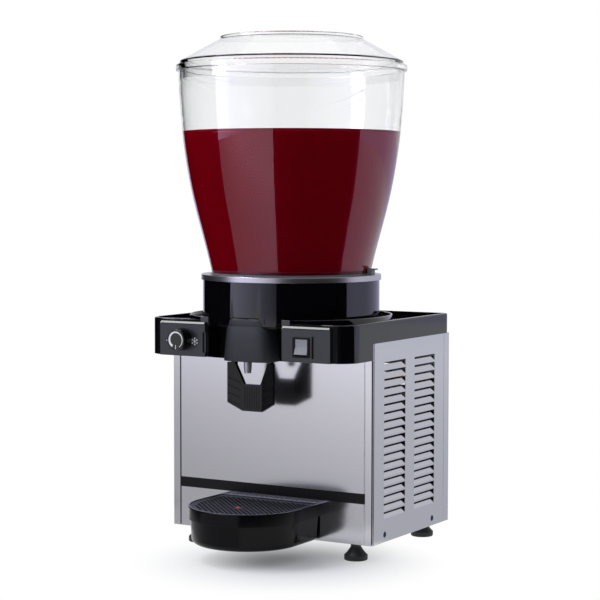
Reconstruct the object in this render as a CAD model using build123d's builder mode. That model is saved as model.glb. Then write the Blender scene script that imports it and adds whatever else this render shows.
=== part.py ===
"""Cold drink dispenser with a clear mixing bowl, a push-back tap and a drip tray.

Units are millimetres. X points right, Y points back and Z points up. The origin
is on the surface that the feet stand on, midway between the nose of the drip
tray and the back panel.
"""

import os
from math import cos, pi, radians, sin, sqrt

from build123d import *

os.makedirs("parts", exist_ok=True)

# Cabinet
CABINET_WIDTH = 340.0
CABINET_DEPTH = 245.0
PANEL_HEIGHT = 288.0
SHEET = 1.0
CORNER_STRIP = 12.8
STRIP_SETBACK = 0.4
FOLD_WIDTH = 1.6
FOLD_DEPTH = 0.45
HEM_DEPTH = 2.0
FRONT_RETURN_INSET = 3.0
FRONT_RETURN = 14.0
CORNER_GAP = 2.0
PANEL_RETURN = 1.8
REAR_WRAP = 17.0
SEAM = 0.5
PAN_FLANGE = 18.0
FIT = 0.05  # radial clearance of a running fit
SLACK = 0.3  # clearance between faces that must not rub

# Side louvres, pressed inwards
LOUVRE_LENGTH = 66.0
LOUVRE_WINDOW = 9.5
LOUVRE_GAP = 3.5
LOUVRE_PRESS = 3.0
LOUVRE_PITCH = 12.0
LOUVRE_ROWS = 19
LOUVRE_TOP_MARGIN = 28.5
LOUVRE_FRONT_MARGIN = 34.2
LOUVRE_COLUMN_STEP = 95.4

# Screws that hold the side panels at the bottom
SCREW_HEAD_RADIUS = 4.2
SCREW_HEAD_DEPTH = 0.8
SCREW_SHANK_RADIUS = 2.0
SCREW_SHANK_LENGTH = 8.0
SCREW_HOLE_RADIUS = 4.5
SCREW_RISE = 11.0
SCREW_FRONT_MARGIN = 37.7
SCREW_REAR_MARGIN = 54.9
SCREW_CROSS_WIDTH = 1.0
SCREW_CROSS_LENGTH = 4.6

# Back panel
REAR_SLOT_LENGTH = 90.0
REAR_SLOT_HEIGHT = 4.0
REAR_SLOT_PITCH = 14.0
REAR_SLOT_ROWS = 12
REAR_SLOT_TOP_MARGIN = 40.0
GLAND_RADIUS = 9.0
GLAND_FLANGE_RADIUS = 12.0
GLAND_FLANGE_DEPTH = 0.8
GLAND_BORE_RADIUS = 4.0
GLAND_DEPTH = 14.0
GLAND_SIDE_MARGIN = 50.0
GLAND_RISE = 45.0

# Bare stripe on the front
STRIPE_HEIGHT = 15.0
STRIPE_RISE = 59.0
STRIPE_DEPTH = 0.3

# Feet
FOOT_HEIGHT = 25.0
FOOT_RADIUS = 17.0
FOOT_BASE_HEIGHT = 7.0
FOOT_NECK_RADIUS = 7.5
FOOT_NECK_HEIGHT = 6.0
FOOT_EDGE = 1.0
FOOT_SIDE_MARGIN = 35.7
FOOT_END_MARGIN = 17.0
FOOT_RIBS = 16
FOOT_RIB_RADIUS = 1.1
STUD_RADIUS = 4.0
STUD_LENGTH = 14.0

# Top housing
HOUSING_RISE = 30.0
HOUSING_OVERHANG = 70.0
HOUSING_WALL = 3.0
RECESS_DEPTH = 31.5
SKIRT_DROP = 23.7
FRONT_CORNER = 30.0
REAR_CORNER = 9.0
RIM_WIDTH = 5.0
RIM_ROUND = 2.4
DECK_DROP = 7.0
DECK_HOLE_RADIUS = 118.0

# Control plates on the front of the housing
PLATE_PROUD = 4.5
PLATE_INNER_MARGIN = 64.5
PLATE_LENGTH = 78.0
PLATE_TOP_DROP = 6.0
PLATE_CHAMFER = 1.6
REBATE_DEPTH = 2.5
REBATE_WIDTH = 3.9
REBATE_HEIGHT = 29.6
REBATE_RISE = 5.9
SLOT_WIDTH = 5.0
SLOT_HEIGHT = 31.0
SLOT_SIDE = 115.6
SLOT_RISE = 5.6

# Thermostat and its knob
KNOB_SIDE = 103.4
KNOB_RISE = 24.2
KNOB_RADIUS = 15.0
KNOB_BASE_RADIUS = 16.4
KNOB_DEPTH = 17.0
KNOB_ROUND = 1.2
KNOB_SKIRT_DEPTH = 2.5
KNOB_GAP = 0.6
KNOB_POINTER_WIDTH = 1.3
KNOB_POINTER_LENGTH = 6.0
KNOB_POINTER_DEPTH = 0.4
SHAFT_RADIUS = 3.0
SHAFT_CLEARANCE = 0.6
SHAFT_GRIP = 9.0
THERMOSTAT_WIDTH = 32.0
THERMOSTAT_HEIGHT = 26.0
THERMOSTAT_DEPTH = 22.0
THERMOSTAT_LIFT = 2.0

# Rocker switch
SWITCH_SIDE = 96.3
SWITCH_RISE = 20.9
SWITCH_WIDTH = 26.7
SWITCH_HEIGHT = 28.8
SWITCH_BEZEL = 1.6
SWITCH_BODY_DEPTH = 20.0
SWITCH_WALL = 2.4
ROCKER_WIDTH = 20.3
ROCKER_HEIGHT = 22.6
ROCKER_FACE_DEPTH = 3.4
ROCKER_FACE_ANGLE = 9.0
ROCKER_THROW = 9.0
ROCKER_HUB_RADIUS = 3.0
ROCKER_PIN_RADIUS = 1.2
ROCKER_PIN_LENGTH = 1.4

# Neck collar and its drip gutter
AXIS_SETBACK = 60.0
COLLAR_RADIUS = 130.7
COLLAR_WALL = 3.0
COLLAR_HEIGHT = 51.0
GUTTER_RADIUS = 150.0
GUTTER_RISE = 11.0
GUTTER_FLOOR = 3.5
GUTTER_LIP = 3.0
GUTTER_ROUND = 1.0
TRIM_RING_RADIUS = 133.0
TRIM_RING_HEIGHT = 8.0
TRIM_RING_SHEET = 1.2
TRIM_RING_ROUND = 1.0
DISH_SHEET = 1.5
DISH_DROP = 4.8
DISH_RADIUS = 119.5
OUTLET_RADIUS = 9.0
OUTLET_WALL = 1.5
OUTLET_LENGTH = 54.0

# Evaporator coil and insulation under the dish
COIL_TUBE_RADIUS = 4.0
COIL_INNER_RADIUS = 42.0
COIL_PITCH = 11.0
COIL_HALF_TURNS = 5
INSULATION_BORE = 34.0

# Bowl, its seal and the lid
SEAL_WIDTH = 8.5
SEAL_HEIGHT = 6.5
SEAL_TAB_WIDTH = 19.0
SEAL_TAB_HEIGHT = 7.0
SEAL_TAB_REACH = 6.8
SEAL_TAB_LIP = 4.0
SEAL_TAB_LIP_HEIGHT = 2.0
SEAL_TAB_ROUND = 2.0
SEAL_TAB_TURN = 13.0  # degrees from the right, towards the back
BOWL_FOOT_RADIUS = 117.5
BOWL_MOUTH_RADIUS = 166.3
BOWL_HEIGHT = 295.5
BOWL_WALL = 3.0
BOWL_RIM_ROUND = 0.9
BOWL_SHARES = ((0.152, 0.223), (0.332, 0.508), (0.511, 0.731), (0.690, 0.879), (0.870, 0.963))
LID_OVERHANG = 3.7
LID_SKIRT_GAP = 3.2
LID_SKIRT_DEPTH = 12.5
LID_WALL = 3.0
LID_FLANGE_HEIGHT = 8.5
LID_LEDGE = 5.7
LID_STEP_HEIGHT = 5.5
LID_CONE_RUN = 58.9
LID_CONE_HEIGHT = 32.3
LID_LIP_HEIGHT = 4.2
LID_LIP_WIDTH = 3.6
LID_LIP_ROUND = 1.6
LID_DOME_RISE = 1.8
LID_ROUND = 1.4

# Mixer
POST_RADIUS = 5.0
POST_HEIGHT = 66.0
POST_CHAMFER = 1.6
POST_FLANGE_RADIUS = 12.0
POST_FLANGE_HEIGHT = 2.0
PADDLE_HUB_WALL = 4.0
PADDLE_MAGNET_RADIUS = 30.0
PADDLE_MAGNET_HEIGHT = 9.0
PADDLE_BLADES = 4
PADDLE_BLADE_REACH = 86.0
PADDLE_BLADE_HEIGHT = 40.0
PADDLE_BLADE_THICKNESS = 3.0
PADDLE_BLADE_TILT = 18.0
PADDLE_GAP = 1.0
DRIVE_MAGNET_RADIUS = 29.0
DRIVE_MAGNET_HEIGHT = 14.0
DRIVE_GAP = 2.0
DRIVE_SHAFT_RADIUS = 4.0
DRIVE_SHAFT_DEPTH = 12.0
MOTOR_RADIUS = 32.0
MOTOR_HEIGHT = 58.0
MOTOR_CHAMFER = 2.4
MOTOR_BOSS_RADIUS = 11.0
MOTOR_BOSS_HEIGHT = 6.0
MOTOR_PLATE_THICKNESS = 2.0
MOTOR_PLATE_WIDTH = 60.0
MOTOR_PLATE_OVERLAP = 7.0

# Tap
COVER_REACH = 48.5
COVER_HALF_WIDTH = 43.2
COVER_TOP_HALF_WIDTH = 35.1
COVER_HALF_DEPTH = 26.0
COVER_DROP = 4.3
COVER_RISE = 57.7
COVER_WALL = 2.4
COVER_ROUND = 5.0
COVER_BAND_DROP = 9.0
COVER_BAND_DEPTH = 0.5
COVER_BAND_HEIGHT = 0.9
COVER_GAP = 0.5
VALVE_REACH = 34.0
VALVE_RADIUS = 12.5
VALVE_BORE_RADIUS = 6.5
VALVE_SEAT_RADIUS = 5.0
VALVE_SEAT_HEIGHT = 4.0
VALVE_CHAMBER_HEIGHT = 11.0
VALVE_GLAND_HEIGHT = 5.0
VALVE_SOCKET_DEPTH = 5.0
PLUG_ROOM = 14.0
SPOUT_REACH = 61.0
SPOUT_RADIUS = 5.8
SPOUT_TIP_RADIUS = 4.85
SPOUT_BORE_RADIUS = 4.0
SPOUT_TIP_LENGTH = 9.0
SPOUT_DROP = 20.8
SPOUT_GRIP = 8.0
BODY_ARM_HALF_WIDTH = 9.0
BODY_ARM_WALL = 3.2
STEM_RADIUS = 2.5
PLUG_RADIUS = 7.2
PLUG_HEIGHT = 3.0
PLUG_CHAMFER = 1.0
PLUG_SEAL_HEIGHT = 1.6
FOOT_PAD_RADIUS = 6.5
FOOT_PAD_HEIGHT = 3.0
SPRING_RADIUS = 4.4
SPRING_WIRE_RADIUS = 0.6
SPRING_TURNS = 5
EAR_SIDE = 10.0
EAR_THICKNESS = 4.0
EAR_RADIUS = 5.0
PIVOT_REACH = 48.0
PIVOT_RISE = 10.7
PIN_RADIUS = 2.0
PIN_HALF_LENGTH = 33.6

# Lever that the glass pushes back
LEVER_HALF_WIDTH = 38.4
LEVER_HUB_HALF_WIDTH = 33.0
LEVER_CENTRE_HALF_WIDTH = 16.3
LEVER_WING_FORWARD = 5.6
LEVER_THICKNESS = 6.0
LEVER_DROP = 77.3
LEVER_CORNER_RISE = 12.0
LEVER_NECK_DROP = 3.0
LEVER_SETBACK = 2.0
LEVER_WINDOW_TOP_HALF_WIDTH = 27.5
LEVER_WINDOW_HALF_WIDTH = 13.8
LEVER_WINDOW_DROP = 38.3
LEVER_HUB_RADIUS = 5.0
LEVER_FINGER_RADIUS = 3.0
LEVER_FINGER_HALF_WIDTH = 4.5
LEVER_RIB_PITCH = 11.0
LEVER_RIB_WIDTH = 2.2
LEVER_RIB_DEPTH = 1.2
LEVER_RIBS = 4
LEVER_RIB_ANGLE = 21.0
LEVER_FLUTES = 7
LEVER_FLUTE_PITCH = 4.0
LEVER_FLUTE_WIDTH = 0.8
LEVER_FLUTE_DEPTH = 0.4
LEVER_FLUTE_MARGIN = 3.0

# Drip tray
TRAY_REACH = 146.0
TRAY_HALF_WIDTH = 86.0
TRAY_TOP_RISE = 54.0
TRAY_RIM_HEIGHT = 18.0
TRAY_RIM_STEP = 3.0
TRAY_WALL = 2.5
TRAY_DRAFT = 2.0
TRAY_BOTTOM_ROUND = 8.0
TRAY_RIM_ROUND = 1.2
TRAY_HOOK_WIDTH = 20.0
TRAY_HOOK_THICKNESS = 4.0
TRAY_HOOK_DEPTH = 9.0
TRAY_HOOK_SIDE = 50.0
TRAY_HOOK_DROP = 14.0
GRILLE_THICKNESS = 3.0
GRILLE_RECESS = 1.2
GRILLE_BORDER = 6.0
GRILLE_BAR = 2.4
GRILLE_PITCH = 12.0
GRILLE_TURN = 45.0  # degrees
FLOAT_REACH = 86.5
FLOAT_RADIUS = 12.0
FLOAT_HEIGHT = 10.0
FLOAT_STEM_RADIUS = 3.4
FLOAT_EYE_RADIUS = 7.0

# Refrigeration in the cabinet
COMPRESSOR_SIDE = 72.0
COMPRESSOR_SETBACK = 145.0
COMPRESSOR_RADIUS = 56.0
COMPRESSOR_HEIGHT = 132.0
COMPRESSOR_ROUND = 26.0
COMPRESSOR_SEAM_RADIUS = 59.0
COMPRESSOR_SEAM_HEIGHT = 4.0
COMPRESSOR_SEAM_SHARE = 0.45
COMPRESSOR_PLATE_SIDE = 118.0
COMPRESSOR_PLATE_THICKNESS = 3.0
GROMMET_RADIUS = 9.0
GROMMET_HEIGHT = 12.0
GROMMET_BORE = 3.0
GROMMET_STEP = 96.0
CONDENSER_THICKNESS = 36.0
CONDENSER_CORE_SHARE = 0.45
CONDENSER_LENGTH = 160.0
CONDENSER_HEIGHT = 190.0
CONDENSER_FIN = 0.8
CONDENSER_FINS = 17
CONDENSER_SETBACK = 120.0
CONDENSER_SIDE_GAP = 8.0
CONDENSER_FOOT = 10.0
SHROUD_THICKNESS = 1.5
SHROUD_RING_DEPTH = 24.0
SHROUD_GAP = 3.0
FAN_RADIUS = 70.0
FAN_HUB_RADIUS = 20.0
FAN_HUB_DEPTH = 18.0
FAN_BLADES = 5
FAN_BLADE_WIDTH = 38.0
FAN_BLADE_THICKNESS = 1.6
FAN_BLADE_PITCH = 24.0
FAN_MOTOR_RADIUS = 26.0
FAN_MOTOR_LENGTH = 34.0
FAN_MOTOR_ROUND = 2.5
FAN_HUB_GAP = 2.5
FAN_SHAFT_RADIUS = 3.0
BRACKET_WIDTH = 12.0
BRACKET_THICKNESS = 2.5
PIPE_RADIUS = 4.0
PIPE_BEND = 14.0
DRIER_RADIUS = 10.0
DRIER_LENGTH = 60.0
DRIER_ROUND = 4.0

# Heights and places that follow from the sizes above
HALF_WIDTH = CABINET_WIDTH / 2
FRONT_Y = (TRAY_REACH - CABINET_DEPTH) / 2
REAR_Y = FRONT_Y + CABINET_DEPTH
MID_Y = (FRONT_Y + REAR_Y) / 2
PANEL_TOP = FOOT_HEIGHT + PANEL_HEIGHT
SKIRT_BOTTOM = PANEL_TOP - SKIRT_DROP
HOUSING_TOP = PANEL_TOP + HOUSING_RISE
HOUSING_FRONT = FRONT_Y - HOUSING_OVERHANG
DECK_Z = HOUSING_TOP - DECK_DROP
DECK_UNDER = DECK_Z - HOUSING_WALL
AXIS_Y = FRONT_Y + AXIS_SETBACK
GUTTER_TOP = DECK_Z + GUTTER_RISE
RING_BOTTOM = GUTTER_TOP + COLLAR_HEIGHT
RING_TOP = RING_BOTTOM + TRIM_RING_HEIGHT
DISH_FLANGE_TOP = RING_TOP - TRIM_RING_SHEET
DISH_FLANGE_UNDER = DISH_FLANGE_TOP - DISH_SHEET
DISH_UNDER = DISH_FLANGE_TOP - DISH_DROP
DISH_FLOOR = DISH_UNDER + DISH_SHEET
SEAL_TOP = DISH_FLOOR + SEAL_HEIGHT
BOWL_TOP = SEAL_TOP + BOWL_HEIGHT
LID_FLANGE_TOP = BOWL_TOP + LID_FLANGE_HEIGHT
COVER_Y = FRONT_Y - COVER_REACH
COVER_BOTTOM = SKIRT_BOTTOM - COVER_DROP
COVER_TOP = SKIRT_BOTTOM + COVER_RISE
RECESS_Y = HOUSING_FRONT + RECESS_DEPTH
VALVE_Y = FRONT_Y - VALVE_REACH
SPOUT_Y = FRONT_Y - SPOUT_REACH
PIVOT_Y = FRONT_Y - PIVOT_REACH
PIVOT_Z = SKIRT_BOTTOM + PIVOT_RISE
PLATE_Y = HOUSING_FRONT - PLATE_PROUD
OUTLET_BOTTOM = DISH_UNDER - OUTLET_LENGTH
SEAT_Z = OUTLET_BOTTOM + VALVE_SOCKET_DEPTH - PLUG_ROOM
CHAMBER_TOP = SEAT_Z - VALVE_SEAT_HEIGHT
CHAMBER_FLOOR = CHAMBER_TOP - VALVE_CHAMBER_HEIGHT
VALVE_BOTTOM = CHAMBER_FLOOR - VALVE_GLAND_HEIGHT
TRAY_TOP = FOOT_HEIGHT + TRAY_TOP_RISE


def upright(y):
    """Plane across the cabinet at depth y, drawn in X and Z."""
    return Plane.XZ.offset(-y)


def level(z):
    """Plane parallel to the floor at height z."""
    return Plane.XY.offset(z)


def stand(x, y):
    """Upright axis through a point of the floor plan."""
    return Axis((x, y, 0), (0, 0, 1))


def half_profile(*points):
    """Closed profile in radius and height, ready to turn about its own axis."""
    with BuildSketch(Plane.XY) as profile:
        with BuildLine():
            Polyline(*points, close=True)
        make_face()
    return profile.sketch


# Base pan: a folded tray, narrow at both ends to clear the flanges of the panels.
PAN_NARROW = HALF_WIDTH - FRONT_RETURN_INSET - SHEET
PAN_WIDE = HALF_WIDTH - SHEET
PAN_WIDE_FRONT = FRONT_Y + HEM_DEPTH + FRONT_RETURN + SHEET
PAN_WIDE_BACK = REAR_Y - REAR_WRAP - SEAM - 2 * SHEET
FOOT_PLACES = [
    (side * (HALF_WIDTH - FOOT_SIDE_MARGIN), end)
    for side in (-1, 1)
    for end in (FRONT_Y + FOOT_END_MARGIN, REAR_Y - FOOT_END_MARGIN)
]
SCREW_Z = FOOT_HEIGHT + SCREW_RISE
SCREW_YS = (FRONT_Y + SCREW_FRONT_MARGIN, REAR_Y - SCREW_REAR_MARGIN)


def pan_plan(inset):
    """Floor plan of the pan, drawn in by inset."""
    with BuildSketch(Plane.XY) as plan:
        with Locations((0, MID_Y)):
            Rectangle(2 * (PAN_NARROW - inset), CABINET_DEPTH - 2 * (SHEET + inset))
        with Locations((0, (PAN_WIDE_FRONT + PAN_WIDE_BACK) / 2)):
            Rectangle(2 * (PAN_WIDE - inset), PAN_WIDE_BACK - PAN_WIDE_FRONT - 2 * inset)
    return plan.sketch


with BuildPart() as base_pan:
    with BuildSketch(level(FOOT_HEIGHT)):
        add(pan_plan(0))
    extrude(amount=PAN_FLANGE)
    with BuildSketch(level(FOOT_HEIGHT + SHEET)):
        add(pan_plan(SHEET))
    extrude(amount=PAN_FLANGE, mode=Mode.SUBTRACT)
    with BuildSketch(level(FOOT_HEIGHT)):
        with Locations(*FOOT_PLACES):
            Circle(STUD_RADIUS + FIT)
    extrude(amount=SHEET, mode=Mode.SUBTRACT)
    with BuildSketch(Plane.YZ.offset(-HALF_WIDTH)):
        with Locations(*[(y, SCREW_Z) for y in SCREW_YS]):
            Circle(SCREW_SHANK_RADIUS + FIT)
    extrude(amount=CABINET_WIDTH, mode=Mode.SUBTRACT)
base_pan.part.label = "base_pan"
export_step(base_pan.part, "parts/base_pan.step")


# Front panel: one folded sheet with hemmed corners, flanges and two hook slots.
HOOK_Z = TRAY_TOP - TRAY_HOOK_DROP
with BuildPart() as front_panel:
    with BuildSketch(level(FOOT_HEIGHT)):
        with BuildLine() as front_plan:
            Polyline(
                (0, FRONT_Y),
                (HALF_WIDTH - CORNER_STRIP, FRONT_Y),
                (HALF_WIDTH, FRONT_Y + STRIP_SETBACK),
                (HALF_WIDTH, FRONT_Y + HEM_DEPTH),
                (HALF_WIDTH - FRONT_RETURN_INSET, FRONT_Y + HEM_DEPTH),
                (HALF_WIDTH - FRONT_RETURN_INSET, FRONT_Y + HEM_DEPTH + FRONT_RETURN),
                (PAN_NARROW, FRONT_Y + HEM_DEPTH + FRONT_RETURN),
                (PAN_NARROW, FRONT_Y + SHEET),
                (0, FRONT_Y + SHEET),
                close=True,
            )
        make_face()
        mirror(about=Plane.YZ)
    extrude(amount=PANEL_HEIGHT)
    # A fine groove pressed along each fold.
    with BuildSketch(level(FOOT_HEIGHT)):
        for side in (-1, 1):
            with Locations((side * (HALF_WIDTH - CORNER_STRIP), FRONT_Y)):
                Rectangle(FOLD_WIDTH, 2 * FOLD_DEPTH)
    extrude(amount=PANEL_HEIGHT, mode=Mode.SUBTRACT)
    with BuildSketch(upright(FRONT_Y)):
        with Locations(*[(side * TRAY_HOOK_SIDE, HOOK_Z) for side in (-1, 1)]):
            Rectangle(TRAY_HOOK_WIDTH + 2 * SLACK, TRAY_HOOK_THICKNESS + 2 * SLACK)
    extrude(amount=-SHEET, mode=Mode.SUBTRACT)
front_panel.part.label = "front_panel"
export_step(front_panel.part, "parts/front_panel.step")

with BuildPart() as front_stripe:
    with BuildSketch(upright(FRONT_Y)):
        with Locations((0, FOOT_HEIGHT + STRIPE_RISE + STRIPE_HEIGHT / 2)):
            Rectangle(CABINET_WIDTH - 2 * CORNER_STRIP, STRIPE_HEIGHT)
    extrude(amount=STRIPE_DEPTH)
front_stripe.part.label = "front_stripe"
export_step(front_stripe.part, "parts/front_stripe.step")


# Side panels: folded sheets with two columns of louvres pressed inwards.
SIDE_FRONT = FRONT_Y + HEM_DEPTH + CORNER_GAP
SIDE_BACK = REAR_Y - REAR_WRAP - SEAM
LOUVRE_TOP = PANEL_TOP - LOUVRE_TOP_MARGIN
LOUVRE_YS = (FRONT_Y + LOUVRE_FRONT_MARGIN, FRONT_Y + LOUVRE_FRONT_MARGIN + LOUVRE_COLUMN_STEP)
with BuildPart() as right_side_panel:
    with BuildSketch(level(FOOT_HEIGHT)):
        with BuildLine():
            Polyline(
                (HALF_WIDTH, SIDE_FRONT),
                (HALF_WIDTH, SIDE_BACK),
                (HALF_WIDTH - SHEET - PANEL_RETURN, SIDE_BACK),
                (HALF_WIDTH - SHEET - PANEL_RETURN, SIDE_BACK - SHEET),
                (HALF_WIDTH - SHEET, SIDE_BACK - SHEET),
                (HALF_WIDTH - SHEET, SIDE_FRONT + SHEET),
                (HALF_WIDTH - SHEET - PANEL_RETURN, SIDE_FRONT + SHEET),
                (HALF_WIDTH - SHEET - PANEL_RETURN, SIDE_FRONT),
                close=True,
            )
        make_face()
    extrude(amount=PANEL_HEIGHT)
    for column_y in LOUVRE_YS:
        with BuildSketch(Plane.YZ.offset(HALF_WIDTH)):
            for row in range(LOUVRE_ROWS):
                slit_top = LOUVRE_TOP - row * LOUVRE_PITCH
                with Locations((column_y + LOUVRE_LENGTH / 2, slit_top - LOUVRE_WINDOW / 2)):
                    Rectangle(LOUVRE_LENGTH, LOUVRE_WINDOW)
        extrude(amount=-SHEET, mode=Mode.SUBTRACT)
        with BuildSketch(upright(column_y)):
            for row in range(LOUVRE_ROWS):
                blade_bottom = LOUVRE_TOP - row * LOUVRE_PITCH - LOUVRE_WINDOW
                blade_top = blade_bottom + LOUVRE_WINDOW - LOUVRE_GAP
                with BuildLine():
                    Polyline(
                        (HALF_WIDTH, blade_bottom),
                        (HALF_WIDTH - LOUVRE_PRESS, blade_top),
                        (HALF_WIDTH - LOUVRE_PRESS - SHEET, blade_top),
                        (HALF_WIDTH - SHEET, blade_bottom),
                        close=True,
                    )
                make_face()
        extrude(amount=-LOUVRE_LENGTH)
    with BuildSketch(Plane.YZ.offset(HALF_WIDTH)):
        with Locations(*[(y, SCREW_Z) for y in SCREW_YS]):
            Circle(SCREW_HOLE_RADIUS)
    extrude(amount=-SHEET, mode=Mode.SUBTRACT)
right_side_panel.part.label = "right_side_panel"
export_step(right_side_panel.part, "parts/right_side_panel.step")

with BuildPart() as left_side_panel:
    mirror(right_side_panel.part, about=Plane.YZ)
left_side_panel.part.label = "left_side_panel"
export_step(left_side_panel.part, "parts/left_side_panel.step")


# Screws: heads sunk in the side panels, shanks in the flanges of the pan.
with BuildPart() as side_panel_screws:
    for side in (-1, 1):
        head_top = Plane.YZ.offset(side * (HALF_WIDTH - SLACK / 2))
        with BuildSketch(head_top):
            with Locations(*[(y, SCREW_Z) for y in SCREW_YS]):
                Circle(SCREW_HEAD_RADIUS)
        extrude(amount=-side * SCREW_HEAD_DEPTH)
        with BuildSketch(head_top):
            with Locations(*[(y, SCREW_Z) for y in SCREW_YS]):
                Circle(SCREW_SHANK_RADIUS)
        extrude(amount=-side * SCREW_SHANK_LENGTH)
        with BuildSketch(head_top):
            with Locations(*[(y, SCREW_Z) for y in SCREW_YS]):
                Rectangle(SCREW_CROSS_LENGTH, SCREW_CROSS_WIDTH)
                Rectangle(SCREW_CROSS_WIDTH, SCREW_CROSS_LENGTH)
        extrude(amount=-side * SCREW_HEAD_DEPTH / 2, mode=Mode.SUBTRACT)
side_panel_screws.part.label = "side_panel_screws"
export_step(side_panel_screws.part, "parts/side_panel_screws.step")


# Back panel: wraps round both rear corners and carries rows of air slots.
GLAND_Z = FOOT_HEIGHT + GLAND_RISE
GLAND_SIDE = HALF_WIDTH - GLAND_SIDE_MARGIN
with BuildPart() as back_panel:
    with BuildSketch(level(FOOT_HEIGHT)):
        with BuildLine():
            Polyline(
                (0, REAR_Y),
                (HALF_WIDTH, REAR_Y),
                (HALF_WIDTH, REAR_Y - REAR_WRAP),
                (HALF_WIDTH - SHEET, REAR_Y - REAR_WRAP),
                (HALF_WIDTH - SHEET, REAR_Y - SHEET),
                (0, REAR_Y - SHEET),
                close=True,
            )
        make_face()
        mirror(about=Plane.YZ)
    extrude(amount=PANEL_HEIGHT)
    with BuildSketch(upright(REAR_Y)):
        for side in (-1, 1):
            for row in range(REAR_SLOT_ROWS):
                slot_z = PANEL_TOP - REAR_SLOT_TOP_MARGIN - row * REAR_SLOT_PITCH
                with Locations((side * (REAR_SLOT_LENGTH / 2 + REAR_SLOT_PITCH), slot_z)):
                    SlotOverall(REAR_SLOT_LENGTH, REAR_SLOT_HEIGHT)
        with Locations((-GLAND_SIDE, GLAND_Z)):
            Circle(GLAND_RADIUS + FIT)
    extrude(amount=SHEET, mode=Mode.SUBTRACT)
back_panel.part.label = "back_panel"
export_step(back_panel.part, "parts/back_panel.step")

with BuildPart() as cord_gland:
    with BuildSketch(upright(REAR_Y)):
        with Locations((-GLAND_SIDE, GLAND_Z)):
            Circle(GLAND_RADIUS)
    extrude(amount=GLAND_DEPTH)
    with BuildSketch(upright(REAR_Y - SHEET)):
        with Locations((-GLAND_SIDE, GLAND_Z)):
            Circle(GLAND_FLANGE_RADIUS)
    extrude(amount=GLAND_FLANGE_DEPTH)
    with BuildSketch(upright(REAR_Y)):
        with Locations((-GLAND_SIDE, GLAND_Z)):
            Circle(GLAND_BORE_RADIUS)
    extrude(amount=GLAND_DEPTH, mode=Mode.SUBTRACT)
cord_gland.part.label = "cord_gland"
export_step(cord_gland.part, "parts/cord_gland.step")


# Feet: moulded bells on threaded studs, ribbed round the base to turn by hand.
FOOT_NAMES = ("foot_left_front", "foot_left_back", "foot_right_front", "foot_right_back")
for foot_name, foot_place in zip(FOOT_NAMES, FOOT_PLACES):
    foot_x, foot_y = foot_place
    with BuildPart() as foot:
        with BuildSketch(upright(foot_y)):
            with BuildLine():
                Polyline(
                    (foot_x, FOOT_HEIGHT),
                    (foot_x, 0),
                    (foot_x + FOOT_RADIUS - FOOT_EDGE, 0),
                    (foot_x + FOOT_RADIUS, FOOT_EDGE),
                    (foot_x + FOOT_RADIUS, FOOT_BASE_HEIGHT),
                )
                flare = Line(
                    (foot_x + FOOT_RADIUS, FOOT_BASE_HEIGHT),
                    (foot_x + FOOT_RADIUS - FOOT_EDGE, FOOT_BASE_HEIGHT + FOOT_EDGE),
                )
                TangentArc(
                    flare @ 1,
                    (foot_x + FOOT_NECK_RADIUS, FOOT_HEIGHT - FOOT_NECK_HEIGHT),
                    tangent=flare % 1,
                )
                Polyline(
                    (foot_x + FOOT_NECK_RADIUS, FOOT_HEIGHT - FOOT_NECK_HEIGHT),
                    (foot_x + FOOT_NECK_RADIUS, FOOT_HEIGHT),
                    (foot_x, FOOT_HEIGHT),
                )
            make_face()
        revolve(axis=stand(foot_x, foot_y))
        with BuildSketch(level(FOOT_EDGE)):
            with Locations((foot_x, foot_y)):
                with PolarLocations(FOOT_RADIUS + FOOT_RIB_RADIUS / 2, FOOT_RIBS):
                    Circle(FOOT_RIB_RADIUS)
        extrude(amount=FOOT_BASE_HEIGHT, mode=Mode.SUBTRACT)
        with BuildSketch(level(FOOT_HEIGHT)):
            with Locations((foot_x, foot_y)):
                Circle(STUD_RADIUS)
        extrude(amount=STUD_LENGTH)
    foot.part.label = foot_name
    export_step(foot.part, f"parts/{foot_name}.step")


# Top housing: a moulded shell with a rimmed deck, hanging over the front.
HOUSING_DEPTH = REAR_Y - HOUSING_FRONT
HOUSING_MID_Y = (REAR_Y + HOUSING_FRONT) / 2


def housing_plan(inset):
    """Plan of the housing, drawn in by inset."""
    with BuildSketch(Plane.XY) as plan:
        with Locations((0, HOUSING_MID_Y)):
            Rectangle(CABINET_WIDTH - 2 * inset, HOUSING_DEPTH - 2 * inset)
        fillet(plan.vertices().group_by(Axis.Y)[0], FRONT_CORNER - inset)
        fillet(plan.vertices().group_by(Axis.Y)[-1], REAR_CORNER - inset)
    return plan.sketch


def cover_plan(gap, height):
    """Oval plan of the tap cover's outside at a height, let out by gap."""
    share = (height - COVER_BOTTOM) / (COVER_TOP - COVER_BOTTOM)
    half_width = COVER_HALF_WIDTH - share * (COVER_HALF_WIDTH - COVER_TOP_HALF_WIDTH)
    with BuildSketch(level(height)) as plan:
        with Locations((0, COVER_Y)):
            Ellipse(half_width + gap, COVER_HALF_DEPTH + gap)
    return plan.sketch


def cover_form(gap, bottom, top):
    """Solid oval form of the tap cover between two heights, let out by gap."""
    return loft([cover_plan(gap, bottom), cover_plan(gap, top)], ruled=True)


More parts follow.
